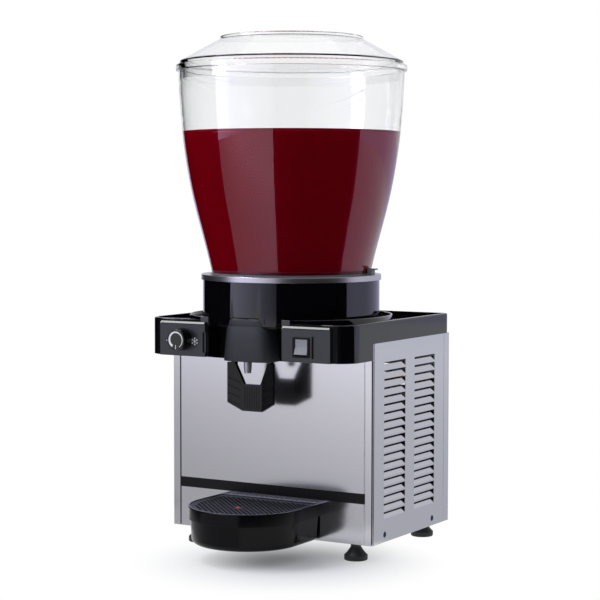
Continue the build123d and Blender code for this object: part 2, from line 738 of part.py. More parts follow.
KNOB_Z = SKIRT_BOTTOM + KNOB_RISE
SWITCH_Z = SKIRT_BOTTOM + SWITCH_RISE
RECESS_HALF_WIDTH = PLATE_INNER_MARGIN - HOUSING_WALL
COVER_ROOM = cover_form(COVER_GAP, COVER_BOTTOM, GUTTER_TOP + COVER_GAP)
with BuildPart() as top_housing:
    with BuildSketch(level(SKIRT_BOTTOM)):
        add(housing_plan(0))
    extrude(amount=HOUSING_TOP - SKIRT_BOTTOM)
    with BuildSketch(level(SKIRT_BOTTOM)):
        with Locations((0, MID_Y)):
            Rectangle(CABINET_WIDTH, CABINET_DEPTH)
    extrude(amount=SKIRT_DROP, mode=Mode.SUBTRACT)
    fillet(top_housing.faces().sort_by(Axis.Z)[-1].edges(), RIM_ROUND)
    with BuildSketch(level(PANEL_TOP)):
        add(housing_plan(HOUSING_WALL))
    extrude(amount=DECK_UNDER - PANEL_TOP, mode=Mode.SUBTRACT)
    with BuildSketch(level(SKIRT_BOTTOM + HOUSING_WALL)):
        add(housing_plan(HOUSING_WALL))
        with Locations((0, MID_Y - HOUSING_WALL)):
            Rectangle(CABINET_WIDTH, CABINET_DEPTH, mode=Mode.SUBTRACT)
    extrude(amount=DECK_UNDER - SKIRT_BOTTOM - HOUSING_WALL, mode=Mode.SUBTRACT)
    # A recess round the tap, its cheeks and back sloping down to the cover's lower edge.
    with BuildSketch(Plane.YZ.offset(-PLATE_INNER_MARGIN)):
        with BuildLine():
            Polyline(
                (HOUSING_FRONT, SKIRT_BOTTOM),
                (RECESS_Y + HOUSING_WALL, COVER_BOTTOM),
                (RECESS_Y + HOUSING_WALL, DECK_UNDER),
                (HOUSING_FRONT, DECK_UNDER),
                close=True,
            )
        make_face()
    extrude(amount=2 * PLATE_INNER_MARGIN)
    with BuildSketch(level(COVER_BOTTOM)):
        with Locations((0, (HOUSING_FRONT + RECESS_Y) / 2)):
            Rectangle(2 * RECESS_HALF_WIDTH, RECESS_DEPTH)
    extrude(amount=DECK_UNDER - COVER_BOTTOM, mode=Mode.SUBTRACT)
    with BuildSketch(level(DECK_Z)):
        add(housing_plan(RIM_WIDTH))
    extrude(amount=DECK_DROP, mode=Mode.SUBTRACT)
    with BuildSketch(level(DECK_UNDER)):
        with Locations((0, AXIS_Y)):
            Circle(DECK_HOLE_RADIUS)
    extrude(amount=HOUSING_RISE, mode=Mode.SUBTRACT)
    with BuildSketch(level(DECK_Z)):
        with Locations((0, AXIS_Y)):
            Circle(GUTTER_RADIUS + SLACK)
    extrude(amount=DECK_DROP, mode=Mode.SUBTRACT)
    add(COVER_ROOM, mode=Mode.SUBTRACT)
    with BuildSketch(upright(HOUSING_FRONT)):
        with Locations((-KNOB_SIDE, KNOB_Z)):
            Circle(SHAFT_RADIUS + SHAFT_CLEARANCE)
        with Locations((SWITCH_SIDE, SWITCH_Z)):
            Rectangle(SWITCH_WIDTH - 2 * SWITCH_BEZEL, SWITCH_HEIGHT - 2 * SWITCH_BEZEL)
    extrude(amount=-HOUSING_WALL, mode=Mode.SUBTRACT)
top_housing.part.label = "top_housing"
export_step(top_housing.part, "parts/top_housing.step")


# Control plates: proud panels on the housing's front, left with a hole for the
# thermostat, right with an opening for the switch.
PLATE_MIDDLE = PLATE_INNER_MARGIN + PLATE_LENGTH / 2
PLATE_TOP = HOUSING_TOP - PLATE_TOP_DROP
PLATE_MID_Z = (PLATE_TOP + SKIRT_BOTTOM) / 2
REBATE_Z = SKIRT_BOTTOM + REBATE_RISE + REBATE_HEIGHT / 2


def front_edge_top(piece):
    """The long top edge of a control plate, on its front face."""
    return piece.faces().sort_by(Axis.Y)[0].edges().sort_by(Axis.Z)[-1]


with BuildPart() as left_control_plate:
    with BuildSketch(upright(HOUSING_FRONT)):
        with Locations((-PLATE_MIDDLE, PLATE_MID_Z)):
            Rectangle(PLATE_LENGTH, PLATE_TOP - SKIRT_BOTTOM)
        with Locations((-KNOB_SIDE, KNOB_Z)):
            Circle(SHAFT_RADIUS + SHAFT_CLEARANCE, mode=Mode.SUBTRACT)
    extrude(amount=PLATE_PROUD)
    chamfer(front_edge_top(left_control_plate), PLATE_CHAMFER)
    with BuildSketch(upright(PLATE_Y)):
        with Locations((-PLATE_INNER_MARGIN - REBATE_WIDTH / 2, REBATE_Z)):
            Rectangle(REBATE_WIDTH, REBATE_HEIGHT)
    extrude(amount=-REBATE_DEPTH, mode=Mode.SUBTRACT)
left_control_plate.part.label = "left_control_plate"
export_step(left_control_plate.part, "parts/left_control_plate.step")

with BuildPart() as right_control_plate:
    with BuildSketch(upright(HOUSING_FRONT)):
        with Locations((PLATE_MIDDLE, PLATE_MID_Z)):
            Rectangle(PLATE_LENGTH, PLATE_TOP - SKIRT_BOTTOM)
        with Locations((SWITCH_SIDE, SWITCH_Z)):
            Rectangle(
                SWITCH_WIDTH - 2 * SWITCH_BEZEL,
                SWITCH_HEIGHT - 2 * SWITCH_BEZEL,
                mode=Mode.SUBTRACT,
            )
    extrude(amount=PLATE_PROUD)
    chamfer(front_edge_top(right_control_plate), PLATE_CHAMFER)
    with BuildSketch(upright(PLATE_Y)):
        with Locations((SLOT_SIDE, SKIRT_BOTTOM + SLOT_RISE + SLOT_HEIGHT / 2)):
            Rectangle(SLOT_WIDTH, SLOT_HEIGHT)
    extrude(amount=-REBATE_DEPTH, mode=Mode.SUBTRACT)
right_control_plate.part.label = "right_control_plate"
export_step(right_control_plate.part, "parts/right_control_plate.step")


# Thermostat body behind the wall, its shaft through the plate, and the knob.
THERMOSTAT_FRONT = HOUSING_FRONT + HOUSING_WALL
with BuildPart() as thermostat:
    with BuildSketch(upright(THERMOSTAT_FRONT)):
        with Locations((-KNOB_SIDE, KNOB_Z + THERMOSTAT_LIFT)):
            Rectangle(THERMOSTAT_WIDTH, THERMOSTAT_HEIGHT)
    extrude(amount=-THERMOSTAT_DEPTH)
    with BuildSketch(upright(THERMOSTAT_FRONT)):
        with Locations((-KNOB_SIDE, KNOB_Z)):
            Circle(SHAFT_RADIUS)
    extrude(amount=HOUSING_WALL + PLATE_PROUD + KNOB_GAP + SHAFT_GRIP)
thermostat.part.label = "thermostat"
export_step(thermostat.part, "parts/thermostat.step")

KNOB_BACK = PLATE_Y - KNOB_GAP
with BuildPart() as thermostat_knob:
    with BuildSketch(level(KNOB_Z)):
        with BuildLine():
            Polyline(
                (-KNOB_SIDE, KNOB_BACK),
                (-KNOB_SIDE + KNOB_BASE_RADIUS, KNOB_BACK),
                (-KNOB_SIDE + KNOB_BASE_RADIUS, KNOB_BACK - KNOB_SKIRT_DEPTH),
                (-KNOB_SIDE + KNOB_RADIUS, KNOB_BACK - KNOB_DEPTH),
                (-KNOB_SIDE, KNOB_BACK - KNOB_DEPTH),
                close=True,
            )
        make_face()
    revolve(axis=Axis((-KNOB_SIDE, 0, KNOB_Z), (0, 1, 0)))
    fillet(thermostat_knob.faces().sort_by(Axis.Y)[0].edges(), KNOB_ROUND)
    with BuildSketch(upright(KNOB_BACK)):
        with Locations((-KNOB_SIDE, KNOB_Z)):
            Circle(SHAFT_RADIUS + FIT)
    extrude(amount=SHAFT_GRIP + SLACK, mode=Mode.SUBTRACT)
    with BuildSketch(upright(KNOB_BACK - KNOB_DEPTH)):
        with Locations((-KNOB_SIDE, KNOB_Z - KNOB_RADIUS + KNOB_ROUND + KNOB_POINTER_LENGTH / 2)):
            Rectangle(KNOB_POINTER_WIDTH, KNOB_POINTER_LENGTH)
    extrude(amount=-KNOB_POINTER_DEPTH, mode=Mode.SUBTRACT)
thermostat_knob.part.label = "thermostat_knob"
export_step(thermostat_knob.part, "parts/thermostat_knob.step")


# Rocker switch: an open moulded body and a rocker pivoting in its side walls.
SWITCH_FRONT = PLATE_Y - SWITCH_BEZEL
ROCKER_PIVOT_Y = PLATE_Y + ROCKER_FACE_DEPTH
SWITCH_WELL_WIDTH = ROCKER_WIDTH + 2 * SLACK
SWITCH_WELL_HEIGHT = SWITCH_HEIGHT - 2 * SWITCH_WALL
SWITCH_WELL_DEPTH = SWITCH_BODY_DEPTH - SWITCH_WALL
with BuildPart() as switch_body:
    with BuildSketch(upright(PLATE_Y)):
        with Locations((SWITCH_SIDE, SWITCH_Z)):
            RectangleRounded(SWITCH_WIDTH, SWITCH_HEIGHT, SWITCH_BEZEL)
    extrude(amount=SWITCH_BEZEL)
    with BuildSketch(upright(PLATE_Y)):
        with Locations((SWITCH_SIDE, SWITCH_Z)):
            Rectangle(
                SWITCH_WIDTH - 2 * SWITCH_BEZEL - 2 * FIT,
                SWITCH_HEIGHT - 2 * SWITCH_BEZEL - 2 * FIT,
            )
    extrude(amount=-SWITCH_BODY_DEPTH)
    with BuildSketch(upright(SWITCH_FRONT)):
        with Locations((SWITCH_SIDE, SWITCH_Z)):
            Rectangle(SWITCH_WELL_WIDTH, SWITCH_WELL_HEIGHT)
    extrude(amount=-SWITCH_WELL_DEPTH, mode=Mode.SUBTRACT)
    with BuildSketch(Plane.YZ.offset(SWITCH_SIDE - SWITCH_WIDTH / 2)):
        with Locations((ROCKER_PIVOT_Y, SWITCH_Z)):
            Circle(ROCKER_PIN_RADIUS + FIT)
    extrude(amount=SWITCH_WIDTH, mode=Mode.SUBTRACT)
switch_body.part.label = "switch_body"
export_step(switch_body.part, "parts/switch_body.step")

# The rocker rests with its top edge pressed in.
ROCKER_HALF = ROCKER_HEIGHT / 2 - SLACK
rocker_turn = radians(ROCKER_THROW)
face_lean = radians(ROCKER_FACE_ANGLE)


def rocker_point(forward, rise):
    """A point of the level rocker's side view, turned to the resting tilt."""
    return (
        ROCKER_PIVOT_Y - forward * cos(rocker_turn) + rise * sin(rocker_turn),
        SWITCH_Z + forward * sin(rocker_turn) + rise * cos(rocker_turn),
    )


ROCKER_EDGE = ROCKER_HALF * cos(face_lean)
ROCKER_EDGE_FORWARD = ROCKER_FACE_DEPTH + ROCKER_HALF * sin(face_lean)
with BuildPart() as switch_rocker:
    with BuildSketch(Plane.YZ.offset(SWITCH_SIDE - ROCKER_WIDTH / 2)):
        with BuildLine():
            Polyline(
                rocker_point(ROCKER_FACE_DEPTH, 0),
                rocker_point(ROCKER_EDGE_FORWARD, ROCKER_EDGE),
                rocker_point(0, ROCKER_EDGE - SWITCH_WALL / 2),
                rocker_point(-ROCKER_HUB_RADIUS, ROCKER_HUB_RADIUS),
                rocker_point(-ROCKER_HUB_RADIUS, -ROCKER_HUB_RADIUS),
                rocker_point(0, SWITCH_WALL / 2 - ROCKER_EDGE),
                rocker_point(ROCKER_EDGE_FORWARD, -ROCKER_EDGE),
                close=True,
            )
        make_face()
    extrude(amount=ROCKER_WIDTH)
    with BuildSketch(Plane.YZ.offset(SWITCH_SIDE - ROCKER_WIDTH / 2 - ROCKER_PIN_LENGTH)):
        with Locations((ROCKER_PIVOT_Y, SWITCH_Z)):
            Circle(ROCKER_PIN_RADIUS)
    extrude(amount=ROCKER_WIDTH + 2 * ROCKER_PIN_LENGTH)
switch_rocker.part.label = "switch_rocker"
export_step(switch_rocker.part, "parts/switch_rocker.step")


# Neck collar with a drip gutter round its foot, cut straight at the front.
COLLAR_INNER = COLLAR_RADIUS - COLLAR_WALL
GUTTER_FLOOR_TOP = DECK_Z + GUTTER_FLOOR
with BuildPart() as neck_collar:
    with BuildSketch(upright(AXIS_Y)):
        add(
            half_profile(
                (COLLAR_INNER, DECK_Z),
                (GUTTER_RADIUS, DECK_Z),
                (GUTTER_RADIUS, GUTTER_TOP),
                (GUTTER_RADIUS - GUTTER_LIP, GUTTER_TOP),
                (GUTTER_RADIUS - GUTTER_LIP, GUTTER_FLOOR_TOP),
                (COLLAR_INNER, GUTTER_FLOOR_TOP),
            )
        )
    revolve(axis=stand(0, AXIS_Y))
    fillet(neck_collar.faces().sort_by(Axis.Z)[-1].edges(), GUTTER_ROUND)
    with BuildSketch(level(DECK_Z)):
        with Locations((0, HOUSING_FRONT - GUTTER_RADIUS)):
            Rectangle(2 * (GUTTER_RADIUS + GUTTER_LIP), 2 * GUTTER_RADIUS)
    extrude(amount=GUTTER_RISE, mode=Mode.SUBTRACT)
    # A straight wall closes the gutter along the front.
    with BuildSketch(level(DECK_Z)):
        with Locations((0, AXIS_Y)):
            Circle(GUTTER_RADIUS)
        for middle in (HOUSING_FRONT + GUTTER_LIP + GUTTER_RADIUS, HOUSING_FRONT - GUTTER_RADIUS):
            with Locations((0, middle)):
                Rectangle(
                    2 * (GUTTER_RADIUS + GUTTER_LIP),
                    2 * GUTTER_RADIUS,
                    mode=Mode.SUBTRACT,
                )
    extrude(amount=GUTTER_RISE)
    with BuildSketch(upright(AXIS_Y)):
        add(
            half_profile(
                (COLLAR_INNER, DECK_Z),
                (COLLAR_RADIUS, DECK_Z),
                (COLLAR_RADIUS, DISH_FLANGE_UNDER),
                (COLLAR_INNER, DISH_FLANGE_UNDER),
            )
        )
    revolve(axis=stand(0, AXIS_Y))
    add(COVER_ROOM, mode=Mode.SUBTRACT)
neck_collar.part.label = "neck_collar"
export_step(neck_collar.part, "parts/neck_collar.step")

with BuildPart() as collar_trim_ring:
    with BuildSketch(upright(AXIS_Y)):
        add(
            half_profile(
                (DISH_RADIUS, DISH_FLANGE_TOP),
                (TRIM_RING_RADIUS - TRIM_RING_SHEET, DISH_FLANGE_TOP),
                (TRIM_RING_RADIUS - TRIM_RING_SHEET, RING_BOTTOM),
                (TRIM_RING_RADIUS, RING_BOTTOM),
                (TRIM_RING_RADIUS, RING_TOP),
                (DISH_RADIUS, RING_TOP),
            )
        )
    revolve(axis=stand(0, AXIS_Y))
    fillet(collar_trim_ring.faces().sort_by(Axis.Z)[-1].outer_wire().edges(), TRIM_RING_ROUND)
collar_trim_ring.part.label = "collar_trim_ring"
export_step(collar_trim_ring.part, "parts/collar_trim_ring.step")


# Cold dish: pressed steel floor of the bowl with its outlet pipe.
with BuildPart() as cold_dish:
    with BuildSketch(upright(AXIS_Y)):
        add(
            half_profile(
                (0, DISH_UNDER),
                (DISH_RADIUS, DISH_UNDER),
                (DISH_RADIUS, DISH_FLANGE_UNDER),
                (COLLAR_RADIUS, DISH_FLANGE_UNDER),
                (COLLAR_RADIUS, DISH_FLANGE_TOP),
                (DISH_RADIUS - DISH_SHEET, DISH_FLANGE_TOP),
                (DISH_RADIUS - DISH_SHEET, DISH_FLOOR),
                (0, DISH_FLOOR),
            )
        )
    revolve(axis=stand(0, AXIS_Y))
    with BuildSketch(level(OUTLET_BOTTOM)):
        with Locations((0, VALVE_Y)):
            Circle(OUTLET_RADIUS)
    extrude(amount=OUTLET_LENGTH)
    with BuildSketch(level(OUTLET_BOTTOM)):
        with Locations((0, VALVE_Y)):
            Circle(OUTLET_RADIUS - OUTLET_WALL)
    extrude(amount=OUTLET_LENGTH + DISH_DROP, mode=Mode.SUBTRACT)
cold_dish.part.label = "cold_dish"
export_step(cold_dish.part, "parts/cold_dish.step")

# Paddle post: a pin standing on the middle of the dish.
with BuildPart() as paddle_post:
    with BuildSketch(level(DISH_FLOOR)):
        with Locations((0, AXIS_Y)):
            Circle(POST_FLANGE_RADIUS)
    extrude(amount=POST_FLANGE_HEIGHT)
    with BuildSketch(level(DISH_FLOOR)):
        with Locations((0, AXIS_Y)):
            Circle(POST_RADIUS)
    extrude(amount=POST_HEIGHT)
    chamfer(paddle_post.faces().sort_by(Axis.Z)[-1].edges(), POST_CHAMFER)
paddle_post.part.label = "paddle_post"
export_step(paddle_post.part, "parts/paddle_post.step")


# Evaporator coil: one flat spiral of tube, half turn by half turn, under the dish.
COIL_Z = DISH_UNDER - COIL_TUBE_RADIUS - SLACK
with BuildPart() as evaporator_coil:
    with BuildLine(level(COIL_Z)) as coil_path:
        coil_y = AXIS_Y - COIL_INNER_RADIUS
        for turn in range(COIL_HALF_TURNS):
            radius = COIL_INNER_RADIUS + turn * COIL_PITCH / 2
            way = 1 if turn % 2 == 0 else -1
            ThreePointArc(
                (0, coil_y),
                (way * radius, coil_y + way * radius),
                (0, coil_y + way * 2 * radius),
            )
            coil_y += way * 2 * radius
    with BuildSketch(Plane(coil_path.line @ 0, z_dir=coil_path.line % 0)):
        Circle(COIL_TUBE_RADIUS)
    sweep()
evaporator_coil.part.label = "evaporator_coil"
export_step(evaporator_coil.part, "parts/evaporator_coil.step")


# Insulation: foam that fills the collar, bored for the drive, the pipes and the tap.
INSULATION_TOP = COIL_Z - COIL_TUBE_RADIUS - SLACK
LIQUID_PIPE_Y = AXIS_Y - COIL_INNER_RADIUS
SUCTION_PIPE_Y = AXIS_Y + COIL_INNER_RADIUS + (COIL_HALF_TURNS - 1) * COIL_PITCH / 2
with BuildPart() as insulation:
    with BuildSketch(level(DECK_Z)):
        with Locations((0, AXIS_Y)):
            Circle(COLLAR_INNER - SLACK)
            Circle(INSULATION_BORE, mode=Mode.SUBTRACT)
        with Locations((0, VALVE_Y)):
            Circle(VALVE_RADIUS + SLACK, mode=Mode.SUBTRACT)
        with Locations((0, LIQUID_PIPE_Y), (0, SUCTION_PIPE_Y)):
            Circle(PIPE_RADIUS + SLACK, mode=Mode.SUBTRACT)
    extrude(amount=INSULATION_TOP - DECK_Z)
    add(COVER_ROOM, mode=Mode.SUBTRACT)
insulation.part.label = "insulation"
export_step(insulation.part, "parts/insulation.step")


# Bowl seal: a soft ring on the dish with a tab that lies over the trim ring.
SEAL_RADIUS = DISH_RADIUS - DISH_SHEET - SLACK
TAB_START = BOWL_FOOT_RADIUS + DISH_SHEET + SLACK
tab_turn = radians(SEAL_TAB_TURN)
TAB_PLANE = Plane(
    origin=(0, AXIS_Y, RING_TOP),
    x_dir=(cos(tab_turn), sin(tab_turn), 0),
    z_dir=(0, 0, 1),
)
with BuildPart() as bowl_seal:
    with BuildSketch(level(DISH_FLOOR)):
        with Locations((0, AXIS_Y)):
            Circle(SEAL_RADIUS)
            Circle(SEAL_RADIUS - SEAL_WIDTH, mode=Mode.SUBTRACT)
    extrude(amount=SEAL_HEIGHT)
    with BuildSketch(TAB_PLANE):
        with Locations((SEAL_RADIUS - DISH_SHEET, 0)):
            Rectangle(
                TAB_START - SEAL_RADIUS + DISH_SHEET + SEAL_TAB_REACH,
                SEAL_TAB_WIDTH,
                align=(Align.MIN, Align.CENTER),
            )
    extrude(amount=SEAL_TOP - RING_TOP)
    with BuildSketch(TAB_PLANE):
        with Locations((TAB_START, 0)):
            Rectangle(SEAL_TAB_REACH, SEAL_TAB_WIDTH, align=(Align.MIN, Align.CENTER))
    extrude(amount=SEAL_TAB_HEIGHT)
    fillet(bowl_seal.edges().filter_by(Axis.Z).group_by(SortBy.LENGTH)[-1], SEAL_TAB_ROUND)
    with BuildSketch(TAB_PLANE.offset(SEAL_TAB_HEIGHT)):
        with Locations((TAB_START, 0)):
            Rectangle(SEAL_TAB_REACH + SEAL_TAB_LIP, SEAL_TAB_WIDTH, align=(Align.MIN, Align.CENTER))
    extrude(amount=SEAL_TAB_LIP_HEIGHT)
bowl_seal.part.label = "bowl_seal"
export_step(bowl_seal.part, "parts/bowl_seal.step")


# Bowl: a bottomless clear bell standing on the seal.
def bowl_edge(inset):
    """Points up the side of the bowl, drawn in by inset."""
    rise = BOWL_MOUTH_RADIUS - BOWL_FOOT_RADIUS
    shares = ((0, 0),) + BOWL_SHARES + ((1, 1),)
    return [
        (BOWL_FOOT_RADIUS + out * rise - inset, SEAL_TOP + up * BOWL_HEIGHT)
        for up, out in shares
    ]


with BuildPart() as bowl:
    with BuildSketch(upright(AXIS_Y)):
        with BuildLine():
            outside = Spline(*bowl_edge(0))
            inside = Spline(*bowl_edge(BOWL_WALL))
            Line(outside @ 0, inside @ 0)
            Line(outside @ 1, inside @ 1)
        make_face()
    revolve(axis=stand(0, AXIS_Y))
    fillet(bowl.faces().sort_by(Axis.Z)[-1].edges(), BOWL_RIM_ROUND)
bowl.part.label = "bowl"
export_step(bowl.part, "parts/bowl.step")


# Lid: a skirt inside the bowl, a broad flange on its rim and a shallow domed cone.
LID_STEP_TOP = LID_FLANGE_TOP + LID_STEP_HEIGHT
LID_CONE_TOP = LID_STEP_TOP + LID_CONE_HEIGHT
LID_LIP_TOP = LID_CONE_TOP + LID_LIP_HEIGHT
LID_SKIRT_RADIUS = BOWL_MOUTH_RADIUS - BOWL_WALL - LID_SKIRT_GAP
LID_RADIUS = BOWL_MOUTH_RADIUS + LID_OVERHANG
LID_STEP_RADIUS = LID_RADIUS - LID_LEDGE
LID_TOP_RADIUS = LID_STEP_RADIUS - LID_CONE_RUN
with BuildPart() as lid:
    with BuildSketch(upright(AXIS_Y)) as lid_profile:
        with BuildLine():
            Polyline(
                (LID_SKIRT_RADIUS, BOWL_TOP),
                (LID_SKIRT_RADIUS, BOWL_TOP - LID_SKIRT_DEPTH),
                (LID_SKIRT_RADIUS - LID_WALL, BOWL_TOP - LID_SKIRT_DEPTH),
                (LID_SKIRT_RADIUS - LID_WALL, LID_FLANGE_TOP),
                (LID_STEP_RADIUS - 2 * LID_WALL, LID_STEP_TOP - LID_WALL / 2),
                (LID_TOP_RADIUS - LID_WALL / 2, LID_CONE_TOP - LID_WALL),
            )
            TangentArc(
                (0, LID_CONE_TOP - LID_WALL + LID_DOME_RISE),
                (LID_TOP_RADIUS - LID_WALL / 2, LID_CONE_TOP - LID_WALL),
                tangent=(1, 0),
            )
            Line(
                (0, LID_CONE_TOP - LID_WALL + LID_DOME_RISE),
                (0, LID_CONE_TOP + LID_DOME_RISE),
            )
            TangentArc(
                (0, LID_CONE_TOP + LID_DOME_RISE),
                (LID_TOP_RADIUS - LID_LIP_WIDTH, LID_CONE_TOP),
                tangent=(1, 0),
            )
            Polyline(
                (LID_TOP_RADIUS - LID_LIP_WIDTH, LID_CONE_TOP),
                (LID_TOP_RADIUS - LID_LIP_WIDTH, LID_LIP_TOP),
                (LID_TOP_RADIUS, LID_LIP_TOP),
                (LID_TOP_RADIUS, LID_CONE_TOP),
                (LID_STEP_RADIUS, LID_STEP_TOP),
                (LID_STEP_RADIUS, LID_FLANGE_TOP),
                (LID_RADIUS, LID_FLANGE_TOP),
                (LID_RADIUS, BOWL_TOP),
                (LID_SKIRT_RADIUS, BOWL_TOP),
            )
        make_face()
        fillet(lid_profile.vertices().group_by(Axis.X)[-1], LID_ROUND)
        fillet(lid_profile.vertices().group_by(Axis.Y)[-1], LID_LIP_ROUND)
    revolve(axis=stand(0, AXIS_Y))
lid.part.label = "lid"
export_step(lid.part, "parts/lid.step")


# Mixer paddle: a magnet base on the post with tilted blades.
PADDLE_BOTTOM = DISH_FLOOR + POST_FLANGE_HEIGHT + PADDLE_GAP
PADDLE_HUB_RADIUS = POST_RADIUS + FIT + PADDLE_HUB_WALL
PADDLE_HUB_HEIGHT = POST_HEIGHT - POST_FLANGE_HEIGHT - 2 * PADDLE_GAP
PADDLE_BLADE_BOTTOM = PADDLE_BOTTOM + PADDLE_MAGNET_HEIGHT / 2
with BuildPart() as mixer_paddle:
    with BuildSketch(level(PADDLE_BOTTOM)):
        with Locations((0, AXIS_Y)):
            Circle(PADDLE_MAGNET_RADIUS)
    extrude(amount=PADDLE_MAGNET_HEIGHT)
    with BuildSketch(level(PADDLE_BOTTOM)):
        with Locations((0, AXIS_Y)):
            Circle(PADDLE_HUB_RADIUS)
    extrude(amount=PADDLE_HUB_HEIGHT)
    lean = radians(PADDLE_BLADE_TILT)
    for blade in range(PADDLE_BLADES):
        turn = blade * 2 * pi / PADDLE_BLADES
        blade_plane = Plane(
            origin=(0, AXIS_Y, PADDLE_BLADE_BOTTOM),
            x_dir=(cos(turn), sin(turn), 0),
            z_dir=(sin(turn) * cos(lean), -cos(turn) * cos(lean), sin(lean)),
        )
        with BuildSketch(blade_plane):
            with BuildLine():
                Polyline(
                    (0, 0),
                    (PADDLE_BLADE_REACH, 0),
                    (PADDLE_BLADE_REACH, PADDLE_BLADE_HEIGHT / 2),
                    (PADDLE_BLADE_REACH / 2, PADDLE_BLADE_HEIGHT),
                    (0, PADDLE_BLADE_HEIGHT),
                    close=True,
                )
            make_face()
        extrude(amount=PADDLE_BLADE_THICKNESS / 2, both=True)
    with BuildSketch(level(PADDLE_BOTTOM)):
        with Locations((0, AXIS_Y)):
            Circle(POST_RADIUS + FIT)
    extrude(amount=POST_HEIGHT, mode=Mode.SUBTRACT)
mixer_paddle.part.label = "mixer_paddle"
export_step(mixer_paddle.part, "parts/mixer_paddle.step")


# Drive: a geared motor under the deck turns a magnet close under the dish.
BRACKET_TOP = DECK_UNDER
BRACKET_UNDER = BRACKET_TOP - MOTOR_PLATE_THICKNESS
MAGNET_TOP = DISH_UNDER - DRIVE_GAP
MAGNET_BOTTOM = MAGNET_TOP - DRIVE_MAGNET_HEIGHT
BOSS_TOP = BRACKET_UNDER + MOTOR_BOSS_HEIGHT
with BuildPart() as motor_bracket:
    with BuildSketch(level(BRACKET_UNDER)):
        with Locations((0, AXIS_Y)):
            Rectangle(2 * (DECK_HOLE_RADIUS + MOTOR_PLATE_OVERLAP), MOTOR_PLATE_WIDTH)
            Circle(MOTOR_BOSS_RADIUS + FIT, mode=Mode.SUBTRACT)
    extrude(amount=MOTOR_PLATE_THICKNESS)
motor_bracket.part.label = "motor_bracket"
export_step(motor_bracket.part, "parts/motor_bracket.step")

with BuildPart() as mixer_motor:
    with BuildSketch(level(BRACKET_UNDER)):
        with Locations((0, AXIS_Y)):
            Circle(MOTOR_RADIUS)
    extrude(amount=-MOTOR_HEIGHT)
    chamfer(mixer_motor.faces().sort_by(Axis.Z)[0].edges(), MOTOR_CHAMFER)
    with BuildSketch(level(BRACKET_UNDER)):
        with Locations((0, AXIS_Y)):
            Circle(MOTOR_BOSS_RADIUS)
    extrude(amount=MOTOR_BOSS_HEIGHT)
    with BuildSketch(level(BOSS_TOP)):
        with Locations((0, AXIS_Y)):
            Circle(DRIVE_SHAFT_RADIUS + FIT)
    extrude(amount=-DRIVE_SHAFT_DEPTH, mode=Mode.SUBTRACT)
mixer_motor.part.label = "mixer_motor"
export_step(mixer_motor.part, "parts/mixer_motor.step")

with BuildPart() as drive_shaft:
    with BuildSketch(level(BOSS_TOP - DRIVE_SHAFT_DEPTH + SLACK)):
        with Locations((0, AXIS_Y)):
            Circle(DRIVE_SHAFT_RADIUS)
    extrude(amount=MAGNET_TOP - BOSS_TOP + DRIVE_SHAFT_DEPTH - SLACK)
drive_shaft.part.label = "drive_shaft"
export_step(drive_shaft.part, "parts/drive_shaft.step")

with BuildPart() as drive_magnet:
    with BuildSketch(level(MAGNET_BOTTOM)):
        with Locations((0, AXIS_Y)):
            Circle(DRIVE_MAGNET_RADIUS)
            Circle(DRIVE_SHAFT_RADIUS, mode=Mode.SUBTRACT)
    extrude(amount=DRIVE_MAGNET_HEIGHT)
drive_magnet.part.label = "drive_magnet"
export_step(drive_magnet.part, "parts/drive_magnet.step")


# Tap cover: a tapered oval nose, open below and closed above, with a fine groove.
BAND_Z = COVER_TOP - COVER_BAND_DROP
COVER_HOLLOW = cover_form(-COVER_WALL, COVER_BOTTOM, COVER_TOP - COVER_WALL)
with BuildPart() as tap_cover:
    add(cover_form(0, COVER_BOTTOM, COVER_TOP))
    fillet(tap_cover.faces().sort_by(Axis.Z)[-1].edges(), COVER_ROUND)
    add(COVER_HOLLOW, mode=Mode.SUBTRACT)
    with BuildSketch(level(BAND_Z)):
        add(cover_plan(COVER_GAP, BAND_Z))
        add(cover_plan(-COVER_BAND_DEPTH, BAND_Z), mode=Mode.SUBTRACT)
    extrude(amount=COVER_BAND_HEIGHT, mode=Mode.SUBTRACT)
    with BuildSketch(level(COVER_BOTTOM)):
        with Locations((0, VALVE_Y)):
            Circle(VALVE_RADIUS + SLACK)
    extrude(amount=COVER_TOP - COVER_BOTTOM, mode=Mode.SUBTRACT)
tap_cover.part.label = "tap_cover"
export_step(tap_cover.part, "parts/tap_cover.step")


